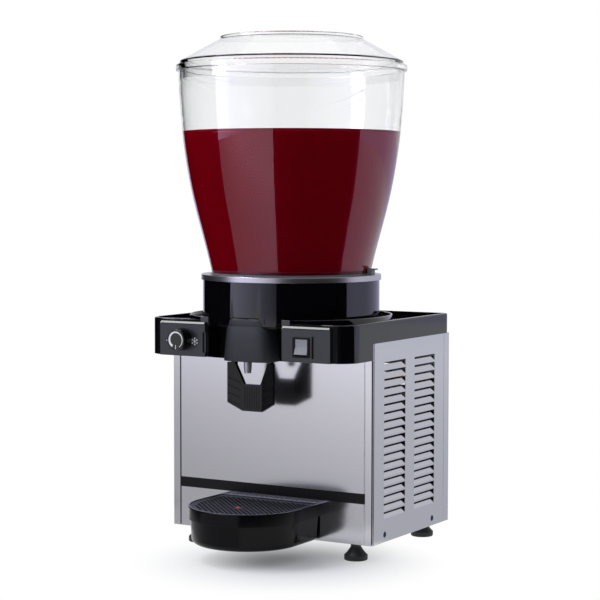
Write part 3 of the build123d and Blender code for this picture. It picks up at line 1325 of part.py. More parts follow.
# Tap body: valve cylinder on the dish outlet, an arm to the spout, ears for the pin.
ARM_FRONT = SPOUT_Y - SPOUT_RADIUS - BODY_ARM_WALL
ARM_TOP = CHAMBER_TOP + SPOUT_TIP_RADIUS - SPOUT_BORE_RADIUS
PASSAGE_Z = CHAMBER_FLOOR + VALVE_CHAMBER_HEIGHT / 2
SPOUT_TOP = VALVE_BOTTOM + SPOUT_GRIP
BODY_TOP = OUTLET_BOTTOM + VALVE_SOCKET_DEPTH
with BuildPart() as tap_body:
    with BuildSketch(level(VALVE_BOTTOM)):
        with Locations((0, VALVE_Y)):
            Circle(VALVE_RADIUS)
    extrude(amount=BODY_TOP - VALVE_BOTTOM)
    with BuildSketch(level(VALVE_BOTTOM)):
        with Locations((0, (VALVE_Y + ARM_FRONT) / 2)):
            Rectangle(2 * BODY_ARM_HALF_WIDTH, VALVE_Y - ARM_FRONT)
    extrude(amount=ARM_TOP - VALVE_BOTTOM)
    for side in (-1, 1):
        ear_middle = side * (EAR_SIDE + EAR_THICKNESS / 2)
        with BuildSketch(Plane.YZ.offset(ear_middle)):
            with Locations((PIVOT_Y, PIVOT_Z)):
                Circle(EAR_RADIUS)
            with Locations((PIVOT_Y, (PIVOT_Z + PASSAGE_Z) / 2)):
                Rectangle(2 * EAR_RADIUS, PASSAGE_Z - PIVOT_Z)
        extrude(amount=EAR_THICKNESS / 2, both=True)
        with BuildSketch(level(VALVE_BOTTOM)):
            with Locations((side * (EAR_SIDE + EAR_THICKNESS) / 2, PIVOT_Y)):
                Rectangle(EAR_SIDE + EAR_THICKNESS, 2 * EAR_RADIUS)
        extrude(amount=PASSAGE_Z - VALVE_BOTTOM)
    with BuildSketch(Plane.YZ.offset(-CABINET_WIDTH / 2)):
        with Locations((PIVOT_Y, PIVOT_Z)):
            Circle(PIN_RADIUS + FIT)
    extrude(amount=CABINET_WIDTH, mode=Mode.SUBTRACT)
    # Bores from the bottom up: stem, chamber, seat, plug room and pipe socket.
    for bore_radius, low, high in (
        (STEM_RADIUS + FIT, VALVE_BOTTOM, CHAMBER_FLOOR),
        (VALVE_BORE_RADIUS, CHAMBER_FLOOR, CHAMBER_TOP),
        (VALVE_SEAT_RADIUS, CHAMBER_TOP, SEAT_Z),
        (OUTLET_RADIUS - OUTLET_WALL, SEAT_Z, OUTLET_BOTTOM),
        (OUTLET_RADIUS + FIT, OUTLET_BOTTOM, BODY_TOP),
    ):
        with BuildSketch(level(low)):
            with Locations((0, VALVE_Y)):
                Circle(bore_radius)
        extrude(amount=high - low, mode=Mode.SUBTRACT)
    with BuildSketch(upright(SPOUT_Y)):
        with Locations((0, PASSAGE_Z)):
            Circle(SPOUT_BORE_RADIUS)
    extrude(amount=SPOUT_Y - VALVE_Y, mode=Mode.SUBTRACT)
    with BuildSketch(level(VALVE_BOTTOM)):
        with Locations((0, SPOUT_Y)):
            Circle(SPOUT_BORE_RADIUS)
    extrude(amount=PASSAGE_Z - VALVE_BOTTOM + SPOUT_BORE_RADIUS / 2, mode=Mode.SUBTRACT)
    with BuildSketch(level(VALVE_BOTTOM)):
        with Locations((0, SPOUT_Y)):
            Circle(SPOUT_RADIUS + FIT)
    extrude(amount=SPOUT_GRIP, mode=Mode.SUBTRACT)
tap_body.part.label = "tap_body"
export_step(tap_body.part, "parts/tap_body.step")


# Plunger: a stem with a lifting pad below and a plug above, sealed on the seat.
PAD_UNDER = PIVOT_Z + LEVER_FINGER_RADIUS + SLACK
PAD_TOP = PAD_UNDER + FOOT_PAD_HEIGHT
PLUG_BOTTOM = SEAT_Z + PLUG_SEAL_HEIGHT
with BuildPart() as tap_plunger:
    with BuildSketch(level(PAD_UNDER)):
        with Locations((0, VALVE_Y)):
            Circle(FOOT_PAD_RADIUS)
    extrude(amount=FOOT_PAD_HEIGHT)
    with BuildSketch(level(PAD_UNDER)):
        with Locations((0, VALVE_Y)):
            Circle(STEM_RADIUS)
    extrude(amount=PLUG_BOTTOM - PAD_UNDER)
    with BuildSketch(level(PLUG_BOTTOM)):
        with Locations((0, VALVE_Y)):
            Circle(PLUG_RADIUS)
    extrude(amount=PLUG_HEIGHT)
    chamfer(tap_plunger.faces().sort_by(Axis.Z)[-1].edges(), PLUG_CHAMFER)
tap_plunger.part.label = "tap_plunger"
export_step(tap_plunger.part, "parts/tap_plunger.step")

with BuildPart() as plunger_seal:
    with BuildSketch(level(SEAT_Z)):
        with Locations((0, VALVE_Y)):
            Circle(PLUG_RADIUS)
            Circle(STEM_RADIUS, mode=Mode.SUBTRACT)
    extrude(amount=PLUG_SEAL_HEIGHT)
plunger_seal.part.label = "plunger_seal"
export_step(plunger_seal.part, "parts/plunger_seal.step")

# Return spring between the plunger's pad and the underside of the tap body.
SPRING_BOTTOM = PAD_TOP + SPRING_WIRE_RADIUS + SLACK
SPRING_LENGTH = VALVE_BOTTOM - SPRING_WIRE_RADIUS - SLACK - SPRING_BOTTOM
with BuildPart() as tap_spring:
    with BuildLine(Plane((0, VALVE_Y, SPRING_BOTTOM))) as spring_line:
        Helix(SPRING_LENGTH / SPRING_TURNS, SPRING_LENGTH, SPRING_RADIUS)
    with BuildSketch(Plane(spring_line.line @ 0, z_dir=spring_line.line % 0)):
        Circle(SPRING_WIRE_RADIUS)
    sweep(is_frenet=True)
tap_spring.part.label = "tap_spring"
export_step(tap_spring.part, "parts/tap_spring.step")

# Spout: a drawn steel tube, narrowed at the tip.
SPOUT_BOTTOM = SKIRT_BOTTOM - SPOUT_DROP
with BuildPart() as spout:
    with BuildSketch(upright(SPOUT_Y)):
        add(
            half_profile(
                (SPOUT_BORE_RADIUS, SPOUT_BOTTOM),
                (SPOUT_TIP_RADIUS, SPOUT_BOTTOM),
                (SPOUT_RADIUS, SPOUT_BOTTOM + SPOUT_TIP_LENGTH),
                (SPOUT_RADIUS, SPOUT_TOP),
                (SPOUT_BORE_RADIUS, SPOUT_TOP),
            )
        )
    revolve(axis=stand(0, SPOUT_Y))
spout.part.label = "spout"
export_step(spout.part, "parts/spout.step")

with BuildPart() as lever_pin:
    with BuildSketch(Plane.YZ.offset(-PIN_HALF_LENGTH)):
        with Locations((PIVOT_Y, PIVOT_Z)):
            Circle(PIN_RADIUS)
    extrude(amount=2 * PIN_HALF_LENGTH)
lever_pin.part.label = "lever_pin"
export_step(lever_pin.part, "parts/lever_pin.step")


# Lever: three facets that hug the glass, a notched top, two arms and a finger.
LEVER_TOP = COVER_BOTTOM - LEVER_NECK_DROP
LEVER_BOTTOM = SKIRT_BOTTOM - LEVER_DROP
LEVER_FACE_Y = PIVOT_Y - LEVER_SETBACK
LEVER_BACK_Y = LEVER_FACE_Y + LEVER_THICKNESS
WING_WIDTH = LEVER_HALF_WIDTH - LEVER_CENTRE_HALF_WIDTH
WING_LENGTH = sqrt(WING_WIDTH**2 + LEVER_WING_FORWARD**2)
NECK_WIDTH = LEVER_HUB_HALF_WIDTH - LEVER_WINDOW_TOP_HALF_WIDTH
HUB_START = EAR_SIDE + EAR_THICKNESS + SLACK
FINGER_REACH = PIVOT_REACH - VALVE_REACH
CROSSBAR_TOP = PIVOT_Z - EAR_RADIUS - 2 * SLACK
FLUTE_HEIGHT = LEVER_DROP - LEVER_WINDOW_DROP - 2 * LEVER_FLUTE_MARGIN
with BuildPart() as tap_lever:
    with BuildSketch(level(LEVER_BOTTOM)):
        with BuildLine():
            Polyline(
                (0, LEVER_FACE_Y),
                (LEVER_CENTRE_HALF_WIDTH, LEVER_FACE_Y),
                (LEVER_HALF_WIDTH, LEVER_FACE_Y - LEVER_WING_FORWARD),
                (LEVER_HALF_WIDTH, LEVER_BACK_Y - LEVER_WING_FORWARD),
                (LEVER_CENTRE_HALF_WIDTH, LEVER_BACK_Y),
                (0, LEVER_BACK_Y),
                close=True,
            )
        make_face()
        mirror(about=Plane.YZ)
    extrude(amount=LEVER_TOP - LEVER_BOTTOM)
    with BuildSketch(upright(LEVER_BACK_Y)):
        with BuildLine():
            Polyline(
                (LEVER_CENTRE_HALF_WIDTH, LEVER_BOTTOM),
                (LEVER_HALF_WIDTH, LEVER_BOTTOM + LEVER_CORNER_RISE),
                (LEVER_HALF_WIDTH, LEVER_BOTTOM),
                close=True,
            )
        make_face()
        mirror(about=Plane.YZ)
        with BuildLine():
            Polyline(
                (LEVER_WINDOW_TOP_HALF_WIDTH, LEVER_TOP),
                (LEVER_WINDOW_HALF_WIDTH, SKIRT_BOTTOM - LEVER_WINDOW_DROP),
                (-LEVER_WINDOW_HALF_WIDTH, SKIRT_BOTTOM - LEVER_WINDOW_DROP),
                (-LEVER_WINDOW_TOP_HALF_WIDTH, LEVER_TOP),
                close=True,
            )
        make_face()
    extrude(amount=LEVER_THICKNESS + LEVER_WING_FORWARD, mode=Mode.SUBTRACT)
    for side in (-1, 1):
        # Slanted grip grooves across each wing.
        wing_plane = Plane(
            origin=(
                side * (LEVER_CENTRE_HALF_WIDTH + WING_WIDTH / 2),
                LEVER_FACE_Y - LEVER_WING_FORWARD / 2,
                LEVER_BOTTOM + LEVER_CORNER_RISE,
            ),
            x_dir=(WING_WIDTH, -side * LEVER_WING_FORWARD, 0),
            z_dir=(-side * LEVER_WING_FORWARD, -WING_WIDTH, 0),
        )
        with BuildSketch(wing_plane):
            for groove in range(LEVER_RIBS):
                with Locations((0, groove * LEVER_RIB_PITCH)):
                    Rectangle(
                        WING_LENGTH - 2 * LEVER_RIB_WIDTH,
                        LEVER_RIB_WIDTH,
                        rotation=side * LEVER_RIB_ANGLE,
                    )
        extrude(amount=-LEVER_RIB_DEPTH, mode=Mode.SUBTRACT)
        # Neck, hub and half of the crossbar, inside the tap cover.
        with BuildSketch(Plane.YZ.offset(side * LEVER_WINDOW_TOP_HALF_WIDTH)):
            with Locations((PIVOT_Y, (PIVOT_Z + LEVER_TOP) / 2)):
                Rectangle(2 * LEVER_HUB_RADIUS, PIVOT_Z - LEVER_TOP)
            with Locations((PIVOT_Y, LEVER_TOP - LEVER_HUB_RADIUS / 2)):
                Rectangle(2 * (LEVER_BACK_Y - PIVOT_Y), LEVER_HUB_RADIUS)
        extrude(amount=side * NECK_WIDTH)
        with BuildSketch(Plane.YZ.offset(side * HUB_START)):
            with Locations((PIVOT_Y, PIVOT_Z)):
                Circle(LEVER_HUB_RADIUS)
        extrude(amount=side * (LEVER_HUB_HALF_WIDTH - HUB_START))
    with BuildSketch(Plane.YZ.offset(-LEVER_WINDOW_TOP_HALF_WIDTH)):
        with Locations((PIVOT_Y, CROSSBAR_TOP - LEVER_HUB_RADIUS / 2)):
            Rectangle(2 * LEVER_FINGER_RADIUS, LEVER_HUB_RADIUS)
    extrude(amount=2 * LEVER_WINDOW_TOP_HALF_WIDTH)
    # The finger under the plunger's pad.
    with BuildSketch(Plane.YZ.offset(-LEVER_FINGER_HALF_WIDTH)):
        with Locations((PIVOT_Y + FINGER_REACH, PIVOT_Z)):
            Circle(LEVER_FINGER_RADIUS)
        with BuildLine():
            Polyline(
                (PIVOT_Y, CROSSBAR_TOP - LEVER_HUB_RADIUS),
                (PIVOT_Y, CROSSBAR_TOP),
                (PIVOT_Y + FINGER_REACH - LEVER_FINGER_RADIUS, PIVOT_Z),
                (PIVOT_Y + FINGER_REACH, PIVOT_Z - LEVER_FINGER_RADIUS),
                close=True,
            )
        make_face()
    extrude(amount=2 * LEVER_FINGER_HALF_WIDTH)
    with BuildSketch(Plane.YZ.offset(-HALF_WIDTH)):
        with Locations((PIVOT_Y, PIVOT_Z)):
            Circle(PIN_RADIUS + FIT)
    extrude(amount=CABINET_WIDTH, mode=Mode.SUBTRACT)
    # Fine upright flutes on the middle facet.
    with BuildSketch(upright(LEVER_FACE_Y)):
        with Locations((0, LEVER_BOTTOM + LEVER_FLUTE_MARGIN + FLUTE_HEIGHT / 2)):
            with GridLocations(LEVER_FLUTE_PITCH, FLUTE_HEIGHT, LEVER_FLUTES, 1):
                Rectangle(LEVER_FLUTE_WIDTH, FLUTE_HEIGHT)
    extrude(amount=-LEVER_FLUTE_DEPTH, mode=Mode.SUBTRACT)
tap_lever.part.label = "tap_lever"
export_step(tap_lever.part, "parts/tap_lever.step")


# Drip tray: D-shaped, with a deeper rim, a drafted body and two tongues.
TRAY_ARC_Y = FRONT_Y - TRAY_REACH + TRAY_HALF_WIDTH
TRAY_BACK_Y = FRONT_Y - SLACK
RIM_BOTTOM = TRAY_TOP - TRAY_RIM_HEIGHT
TRAY_FLOOR = FOOT_HEIGHT + TRAY_WALL
GRILLE_BOTTOM = TRAY_TOP - GRILLE_RECESS - GRILLE_THICKNESS


def tray_plan(inset):
    """D-shaped plan of the tray, drawn in by inset."""
    half_width = TRAY_HALF_WIDTH - inset
    back = TRAY_BACK_Y - inset
    with BuildSketch(Plane.XY) as plan:
        with BuildLine():
            Polyline(
                (half_width, TRAY_ARC_Y),
                (half_width, back),
                (-half_width, back),
                (-half_width, TRAY_ARC_Y),
            )
            ThreePointArc(
                (-half_width, TRAY_ARC_Y),
                (0, TRAY_ARC_Y - half_width),
                (half_width, TRAY_ARC_Y),
            )
        make_face()
    return plan.sketch


with BuildPart() as drip_tray:
    with BuildSketch(level(RIM_BOTTOM)):
        add(tray_plan(TRAY_RIM_STEP))
    with BuildSketch(level(FOOT_HEIGHT)):
        add(tray_plan(TRAY_RIM_STEP + TRAY_DRAFT))
    loft(ruled=True)
    fillet(drip_tray.faces().sort_by(Axis.Z)[0].edges(), TRAY_BOTTOM_ROUND)
    with BuildSketch(level(RIM_BOTTOM)):
        add(tray_plan(0))
    extrude(amount=TRAY_RIM_HEIGHT)
    with BuildSketch(level(RIM_BOTTOM)):
        add(tray_plan(TRAY_RIM_STEP + TRAY_WALL))
    with BuildSketch(level(TRAY_FLOOR)):
        add(tray_plan(TRAY_RIM_STEP + TRAY_WALL + TRAY_DRAFT))
    loft(ruled=True, mode=Mode.SUBTRACT)
    with BuildSketch(level(RIM_BOTTOM)):
        add(tray_plan(TRAY_RIM_STEP + TRAY_WALL))
    extrude(amount=TRAY_RIM_HEIGHT, mode=Mode.SUBTRACT)
    with BuildSketch(level(GRILLE_BOTTOM)):
        add(tray_plan(TRAY_WALL))
    extrude(amount=GRILLE_THICKNESS + GRILLE_RECESS, mode=Mode.SUBTRACT)
    fillet(drip_tray.faces().sort_by(Axis.Z)[-1].outer_wire().edges(), TRAY_RIM_ROUND)
    with BuildSketch(upright(TRAY_BACK_Y - TRAY_WALL / 2)):
        with Locations(*[(side * TRAY_HOOK_SIDE, HOOK_Z) for side in (-1, 1)]):
            Rectangle(TRAY_HOOK_WIDTH, TRAY_HOOK_THICKNESS)
    extrude(amount=-TRAY_HOOK_DEPTH)
drip_tray.part.label = "drip_tray"
export_step(drip_tray.part, "parts/drip_tray.step")


# Grille: a plate with a diagonal lattice of square holes and an eye for the float.
FLOAT_Y = FRONT_Y - FLOAT_REACH
GRILLE_HOLE = GRILLE_PITCH / sqrt(2) - GRILLE_BAR
GRILLE_REACH = TRAY_HALF_WIDTH - TRAY_WALL - SLACK - GRILLE_BORDER - GRILLE_HOLE / sqrt(2)


def lattice_places():
    """Centres of the whole holes of the lattice, staggered row by row."""
    places = []
    columns = int(TRAY_HALF_WIDTH / GRILLE_PITCH) + 1
    rows = int(TRAY_REACH / GRILLE_PITCH) + 1
    for row in range(2 * rows):
        for column in range(-columns, columns + 1):
            x = (column + (row % 2) / 2) * GRILLE_PITCH
            y = FLOAT_Y + (row - rows) * GRILLE_PITCH / 2
            past_arc = max(TRAY_ARC_Y - y, 0)
            inside = sqrt(x * x + past_arc * past_arc) < GRILLE_REACH
            behind = y < TRAY_BACK_Y - TRAY_WALL - GRILLE_BORDER - GRILLE_HOLE / sqrt(2)
            clear = sqrt(x * x + (y - FLOAT_Y) ** 2) > FLOAT_EYE_RADIUS
            if inside and behind and clear:
                places.append((x, y))
    return places


with BuildPart() as tray_grille:
    with BuildSketch(level(GRILLE_BOTTOM)):
        add(tray_plan(TRAY_WALL + SLACK))
        with Locations(*lattice_places()):
            Rectangle(GRILLE_HOLE, GRILLE_HOLE, rotation=GRILLE_TURN, mode=Mode.SUBTRACT)
        with Locations((0, FLOAT_Y)):
            Circle(FLOAT_STEM_RADIUS + SLACK, mode=Mode.SUBTRACT)
    extrude(amount=GRILLE_THICKNESS)
tray_grille.part.label = "tray_grille"
export_step(tray_grille.part, "parts/tray_grille.step")

with BuildPart() as level_float:
    with BuildSketch(level(TRAY_FLOOR)):
        with Locations((0, FLOAT_Y)):
            Circle(FLOAT_RADIUS)
    extrude(amount=FLOAT_HEIGHT)
    with BuildSketch(level(TRAY_FLOOR)):
        with Locations((0, FLOAT_Y)):
            Circle(FLOAT_STEM_RADIUS)
    extrude(amount=TRAY_TOP - TRAY_FLOOR)
    fillet(level_float.faces().sort_by(Axis.Z)[-1].edges(), FLOAT_STEM_RADIUS / 2)
level_float.part.label = "level_float"
export_step(level_float.part, "parts/level_float.step")


# Compressor: a domed steel can with a welded seam on a base plate and four grommets.
PAN_FLOOR = FOOT_HEIGHT + SHEET
COMPRESSOR_Y = FRONT_Y + COMPRESSOR_SETBACK
COMPRESSOR_PLATE_Z = PAN_FLOOR + GROMMET_HEIGHT
COMPRESSOR_BOTTOM = COMPRESSOR_PLATE_Z + COMPRESSOR_PLATE_THICKNESS
COMPRESSOR_TOP = COMPRESSOR_BOTTOM + COMPRESSOR_HEIGHT
with BuildPart() as compressor:
    with BuildSketch(level(COMPRESSOR_BOTTOM)):
        with Locations((-COMPRESSOR_SIDE, COMPRESSOR_Y)):
            Circle(COMPRESSOR_RADIUS)
    extrude(amount=COMPRESSOR_HEIGHT)
    fillet(compressor.faces().sort_by(Axis.Z)[-1].edges(), COMPRESSOR_ROUND)
    with BuildSketch(level(COMPRESSOR_BOTTOM + COMPRESSOR_SEAM_SHARE * COMPRESSOR_HEIGHT)):
        with Locations((-COMPRESSOR_SIDE, COMPRESSOR_Y)):
            Circle(COMPRESSOR_SEAM_RADIUS)
    extrude(amount=COMPRESSOR_SEAM_HEIGHT)
    with BuildSketch(level(COMPRESSOR_PLATE_Z)):
        with Locations((-COMPRESSOR_SIDE, COMPRESSOR_Y)):
            RectangleRounded(COMPRESSOR_PLATE_SIDE, COMPRESSOR_PLATE_SIDE, GROMMET_RADIUS)
            with GridLocations(GROMMET_STEP, GROMMET_STEP, 2, 2):
                Circle(GROMMET_BORE, mode=Mode.SUBTRACT)
    extrude(amount=COMPRESSOR_PLATE_THICKNESS)
compressor.part.label = "compressor"
export_step(compressor.part, "parts/compressor.step")

with BuildPart() as compressor_grommets:
    with BuildSketch(level(PAN_FLOOR)):
        with Locations((-COMPRESSOR_SIDE, COMPRESSOR_Y)):
            with GridLocations(GROMMET_STEP, GROMMET_STEP, 2, 2):
                Circle(GROMMET_RADIUS)
                Circle(GROMMET_BORE, mode=Mode.SUBTRACT)
    extrude(amount=GROMMET_HEIGHT)
compressor_grommets.part.label = "compressor_grommets"
export_step(compressor_grommets.part, "parts/compressor_grommets.step")


# Condenser: fins on a core between two end plates that stand on the pan.
CONDENSER_OUTER = HALF_WIDTH - SHEET - CONDENSER_SIDE_GAP
CONDENSER_INNER = CONDENSER_OUTER - CONDENSER_THICKNESS
CONDENSER_X = (CONDENSER_OUTER + CONDENSER_INNER) / 2
CONDENSER_Y = FRONT_Y + CONDENSER_SETBACK
CONDENSER_BOTTOM = PAN_FLOOR + CONDENSER_FOOT
CONDENSER_MID_Z = CONDENSER_BOTTOM + CONDENSER_HEIGHT / 2
CONDENSER_TOP = CONDENSER_BOTTOM + CONDENSER_HEIGHT
with BuildPart() as condenser:
    with BuildSketch(level(CONDENSER_BOTTOM)):
        with Locations((CONDENSER_X, CONDENSER_Y)):
            Rectangle(CONDENSER_CORE_SHARE * CONDENSER_THICKNESS, CONDENSER_LENGTH)
            with GridLocations(CONDENSER_THICKNESS, CONDENSER_LENGTH / CONDENSER_FINS, 1, CONDENSER_FINS):
                Rectangle(CONDENSER_THICKNESS, CONDENSER_FIN)
    extrude(amount=CONDENSER_HEIGHT)
    with BuildSketch(level(PAN_FLOOR)):
        with Locations((CONDENSER_X, CONDENSER_Y)):
            with GridLocations(CONDENSER_THICKNESS, CONDENSER_LENGTH + SHEET, 1, 2):
                Rectangle(CONDENSER_THICKNESS, SHEET)
    extrude(amount=CONDENSER_TOP - PAN_FLOOR)
condenser.part.label = "condenser"
export_step(condenser.part, "parts/condenser.step")


# Fan: shroud against the condenser, motor on a cross bracket, shaft and blades.
SHROUD_FACE = CONDENSER_INNER - SHROUD_THICKNESS
RING_EDGE = SHROUD_FACE - SHROUD_RING_DEPTH
RING_BORE = FAN_RADIUS + SHROUD_GAP
FAN_AXIS = (CONDENSER_Y, CONDENSER_MID_Z)
with BuildPart() as fan_shroud:
    with BuildSketch(Plane.YZ.offset(SHROUD_FACE)):
        with Locations(FAN_AXIS):
            Rectangle(CONDENSER_LENGTH + 2 * SHEET, CONDENSER_HEIGHT)
            Circle(RING_BORE, mode=Mode.SUBTRACT)
    extrude(amount=SHROUD_THICKNESS)
    with BuildSketch(Plane.YZ.offset(RING_EDGE)):
        with Locations(FAN_AXIS):
            Circle(RING_BORE + SHROUD_THICKNESS)
            Circle(RING_BORE, mode=Mode.SUBTRACT)
    extrude(amount=SHROUD_RING_DEPTH)
fan_shroud.part.label = "fan_shroud"
export_step(fan_shroud.part, "parts/fan_shroud.step")

BRACKET_BACK = RING_EDGE - BRACKET_THICKNESS
with BuildPart() as fan_bracket:
    with BuildSketch(Plane.YZ.offset(BRACKET_BACK)):
        with Locations(FAN_AXIS):
            Rectangle(2 * (RING_BORE + SHROUD_THICKNESS), BRACKET_WIDTH)
            Rectangle(BRACKET_WIDTH, 2 * (RING_BORE + SHROUD_THICKNESS))
            Circle(FAN_MOTOR_RADIUS)
            Circle(2 * FAN_SHAFT_RADIUS, mode=Mode.SUBTRACT)
    extrude(amount=BRACKET_THICKNESS)
fan_bracket.part.label = "fan_bracket"
export_step(fan_bracket.part, "parts/fan_bracket.step")

with BuildPart() as fan_motor:
    with BuildSketch(Plane.YZ.offset(BRACKET_BACK)):
        with Locations(FAN_AXIS):
            Circle(FAN_MOTOR_RADIUS)
    extrude(amount=-FAN_MOTOR_LENGTH)
    fillet(fan_motor.faces().sort_by(Axis.X)[0].edges(), FAN_MOTOR_ROUND)
    with BuildSketch(Plane.YZ.offset(BRACKET_BACK)):
        with Locations(FAN_AXIS):
            Circle(FAN_SHAFT_RADIUS + FIT)
    extrude(amount=-FAN_MOTOR_LENGTH / 2, mode=Mode.SUBTRACT)
fan_motor.part.label = "fan_motor"
export_step(fan_motor.part, "parts/fan_motor.step")

HUB_BACK = RING_EDGE + FAN_HUB_GAP
with BuildPart() as fan_shaft:
    with BuildSketch(Plane.YZ.offset(BRACKET_BACK - FAN_MOTOR_LENGTH / 2 + SLACK)):
        with Locations(FAN_AXIS):
            Circle(FAN_SHAFT_RADIUS)
    extrude(amount=FAN_MOTOR_LENGTH / 2 - SLACK + HUB_BACK - BRACKET_BACK + FAN_HUB_DEPTH - SLACK)
fan_shaft.part.label = "fan_shaft"
export_step(fan_shaft.part, "parts/fan_shaft.step")

pitch_angle = radians(FAN_BLADE_PITCH)
with BuildPart() as fan_blades:
    with BuildSketch(Plane.YZ.offset(HUB_BACK)):
        with Locations(FAN_AXIS):
            Circle(FAN_HUB_RADIUS)
    extrude(amount=FAN_HUB_DEPTH)
    for blade in range(FAN_BLADES):
        turn = blade * 2 * pi / FAN_BLADES
        blade_plane = Plane(
            origin=(HUB_BACK + FAN_HUB_DEPTH / 2, *FAN_AXIS),
            x_dir=(0, cos(turn), sin(turn)),
            z_dir=(cos(pitch_angle), -sin(turn) * sin(pitch_angle), cos(turn) * sin(pitch_angle)),
        )
        with BuildSketch(blade_plane):
            with BuildLine():
                Polyline(
                    (FAN_HUB_RADIUS / 2, -FAN_BLADE_WIDTH / 4),
                    (FAN_RADIUS * cos(FAN_BLADE_WIDTH / FAN_RADIUS / 2), -FAN_BLADE_WIDTH / 2),
                )
                ThreePointArc(
                    (FAN_RADIUS * cos(FAN_BLADE_WIDTH / FAN_RADIUS / 2), -FAN_BLADE_WIDTH / 2),
                    (FAN_RADIUS, 0),
                    (FAN_RADIUS * cos(FAN_BLADE_WIDTH / FAN_RADIUS / 2), FAN_BLADE_WIDTH / 2),
                )
                Polyline(
                    (FAN_RADIUS * cos(FAN_BLADE_WIDTH / FAN_RADIUS / 2), FAN_BLADE_WIDTH / 2),
                    (FAN_HUB_RADIUS / 2, FAN_BLADE_WIDTH / 4),
                    (FAN_HUB_RADIUS / 2, -FAN_BLADE_WIDTH / 4),
                )
            make_face()
        extrude(amount=FAN_BLADE_THICKNESS / 2, both=True)
    with BuildSketch(Plane.YZ.offset(HUB_BACK)):
        with Locations(FAN_AXIS):
            Circle(FAN_SHAFT_RADIUS)
    extrude(amount=FAN_HUB_DEPTH, mode=Mode.SUBTRACT)
fan_blades.part.label = "fan_blades"
export_step(fan_blades.part, "parts/fan_blades.step")


# Refrigerant pipes: bent tubes between the can, the condenser and the coil.
def pipe_path(*points):
    """Straight runs joined by bends of one radius."""
    with BuildLine() as route:
        FilletPolyline(*points, radius=PIPE_BEND)
    return route.line


CONDENSER_FRONT = CONDENSER_Y - CONDENSER_LENGTH / 2 - SHEET
CONDENSER_BACK = CONDENSER_Y + CONDENSER_LENGTH / 2 + SHEET
COIL_BOTTOM = COIL_Z - COIL_TUBE_RADIUS
DISCHARGE_Y = COMPRESSOR_Y + (COMPRESSOR_RADIUS - COMPRESSOR_ROUND) * 2 / 3
DISCHARGE_BACK_Y = CONDENSER_BACK + PIPE_BEND + 2 * PIPE_RADIUS
DISCHARGE_TOP = CONDENSER_TOP + PIPE_BEND
DISCHARGE_IN_Z = CONDENSER_TOP - PIPE_BEND - 2 * PIPE_RADIUS
LIQUID_Z = CONDENSER_BOTTOM + PIPE_BEND + 2 * PIPE_RADIUS
DRIER_END = PIPE_BEND + PIPE_RADIUS
SUCTION_Z = COMPRESSOR_TOP + 2 * PIPE_BEND
with BuildPart() as discharge_pipe:
    discharge_route = pipe_path(
        (-COMPRESSOR_SIDE, DISCHARGE_Y, COMPRESSOR_TOP),
        (-COMPRESSOR_SIDE, DISCHARGE_Y, DISCHARGE_TOP),
        (-COMPRESSOR_SIDE, DISCHARGE_BACK_Y, DISCHARGE_TOP),
        (CONDENSER_X, DISCHARGE_BACK_Y, DISCHARGE_TOP),
        (CONDENSER_X, DISCHARGE_BACK_Y, DISCHARGE_IN_Z),
        (CONDENSER_X, CONDENSER_BACK, DISCHARGE_IN_Z),
    )
    with BuildSketch(Plane(discharge_route @ 0, z_dir=discharge_route % 0)):
        Circle(PIPE_RADIUS)
    sweep(path=discharge_route)
discharge_pipe.part.label = "discharge_pipe"
export_step(discharge_pipe.part, "parts/discharge_pipe.step")

with BuildPart() as suction_pipe:
    suction_route = pipe_path(
        (0, SUCTION_PIPE_Y, COIL_BOTTOM),
        (0, SUCTION_PIPE_Y, SUCTION_Z),
        (-COMPRESSOR_SIDE, SUCTION_PIPE_Y, SUCTION_Z),
        (-COMPRESSOR_SIDE, SUCTION_PIPE_Y, COMPRESSOR_TOP),
    )
    with BuildSketch(Plane(suction_route @ 0, z_dir=suction_route % 0)):
        Circle(PIPE_RADIUS)
    sweep(path=suction_route)
suction_pipe.part.label = "suction_pipe"
export_step(suction_pipe.part, "parts/suction_pipe.step")

with BuildPart() as condenser_pipe:
    condenser_route = pipe_path(
        (CONDENSER_X, CONDENSER_FRONT, LIQUID_Z),
        (CONDENSER_X, LIQUID_PIPE_Y, LIQUID_Z),
        (DRIER_END + DRIER_LENGTH, LIQUID_PIPE_Y, LIQUID_Z),
    )
    with BuildSketch(Plane(condenser_route @ 0, z_dir=condenser_route % 0)):
        Circle(PIPE_RADIUS)
    sweep(path=condenser_route)
condenser_pipe.part.label = "condenser_pipe"
export_step(condenser_pipe.part, "parts/condenser_pipe.step")

with BuildPart() as filter_drier:
    with BuildSketch(Plane.YZ.offset(DRIER_END)):
        with Locations((LIQUID_PIPE_Y, LIQUID_Z)):
            Circle(DRIER_RADIUS)
    extrude(amount=DRIER_LENGTH)
    fillet(filter_drier.edges().filter_by(GeomType.CIRCLE), DRIER_ROUND)
filter_drier.part.label = "filter_drier"
export_step(filter_drier.part, "parts/filter_drier.step")

with BuildPart() as liquid_pipe:
    liquid_route = pipe_path(
        (DRIER_END, LIQUID_PIPE_Y, LIQUID_Z),
        (0, LIQUID_PIPE_Y, LIQUID_Z),
        (0, LIQUID_PIPE_Y, COIL_BOTTOM),
    )
    with BuildSketch(Plane(liquid_route @ 0, z_dir=liquid_route % 0)):
        Circle(PIPE_RADIUS)
    sweep(path=liquid_route)
liquid_pipe.part.label = "liquid_pipe"
export_step(liquid_pipe.part, "parts/liquid_pipe.step")
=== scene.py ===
"""Studio scene of the cold drink dispenser, dressed over its frame.

Metres, +Z up, origin on the floor under the middle of the machine. X points right
and Y points back. Every new piece is a surface worked out with numpy at its own
place, so its object stays at the origin.
"""

from math import cos, pi, radians, sin

import bpy
import numpy as np
from mathutils import Matrix, Vector


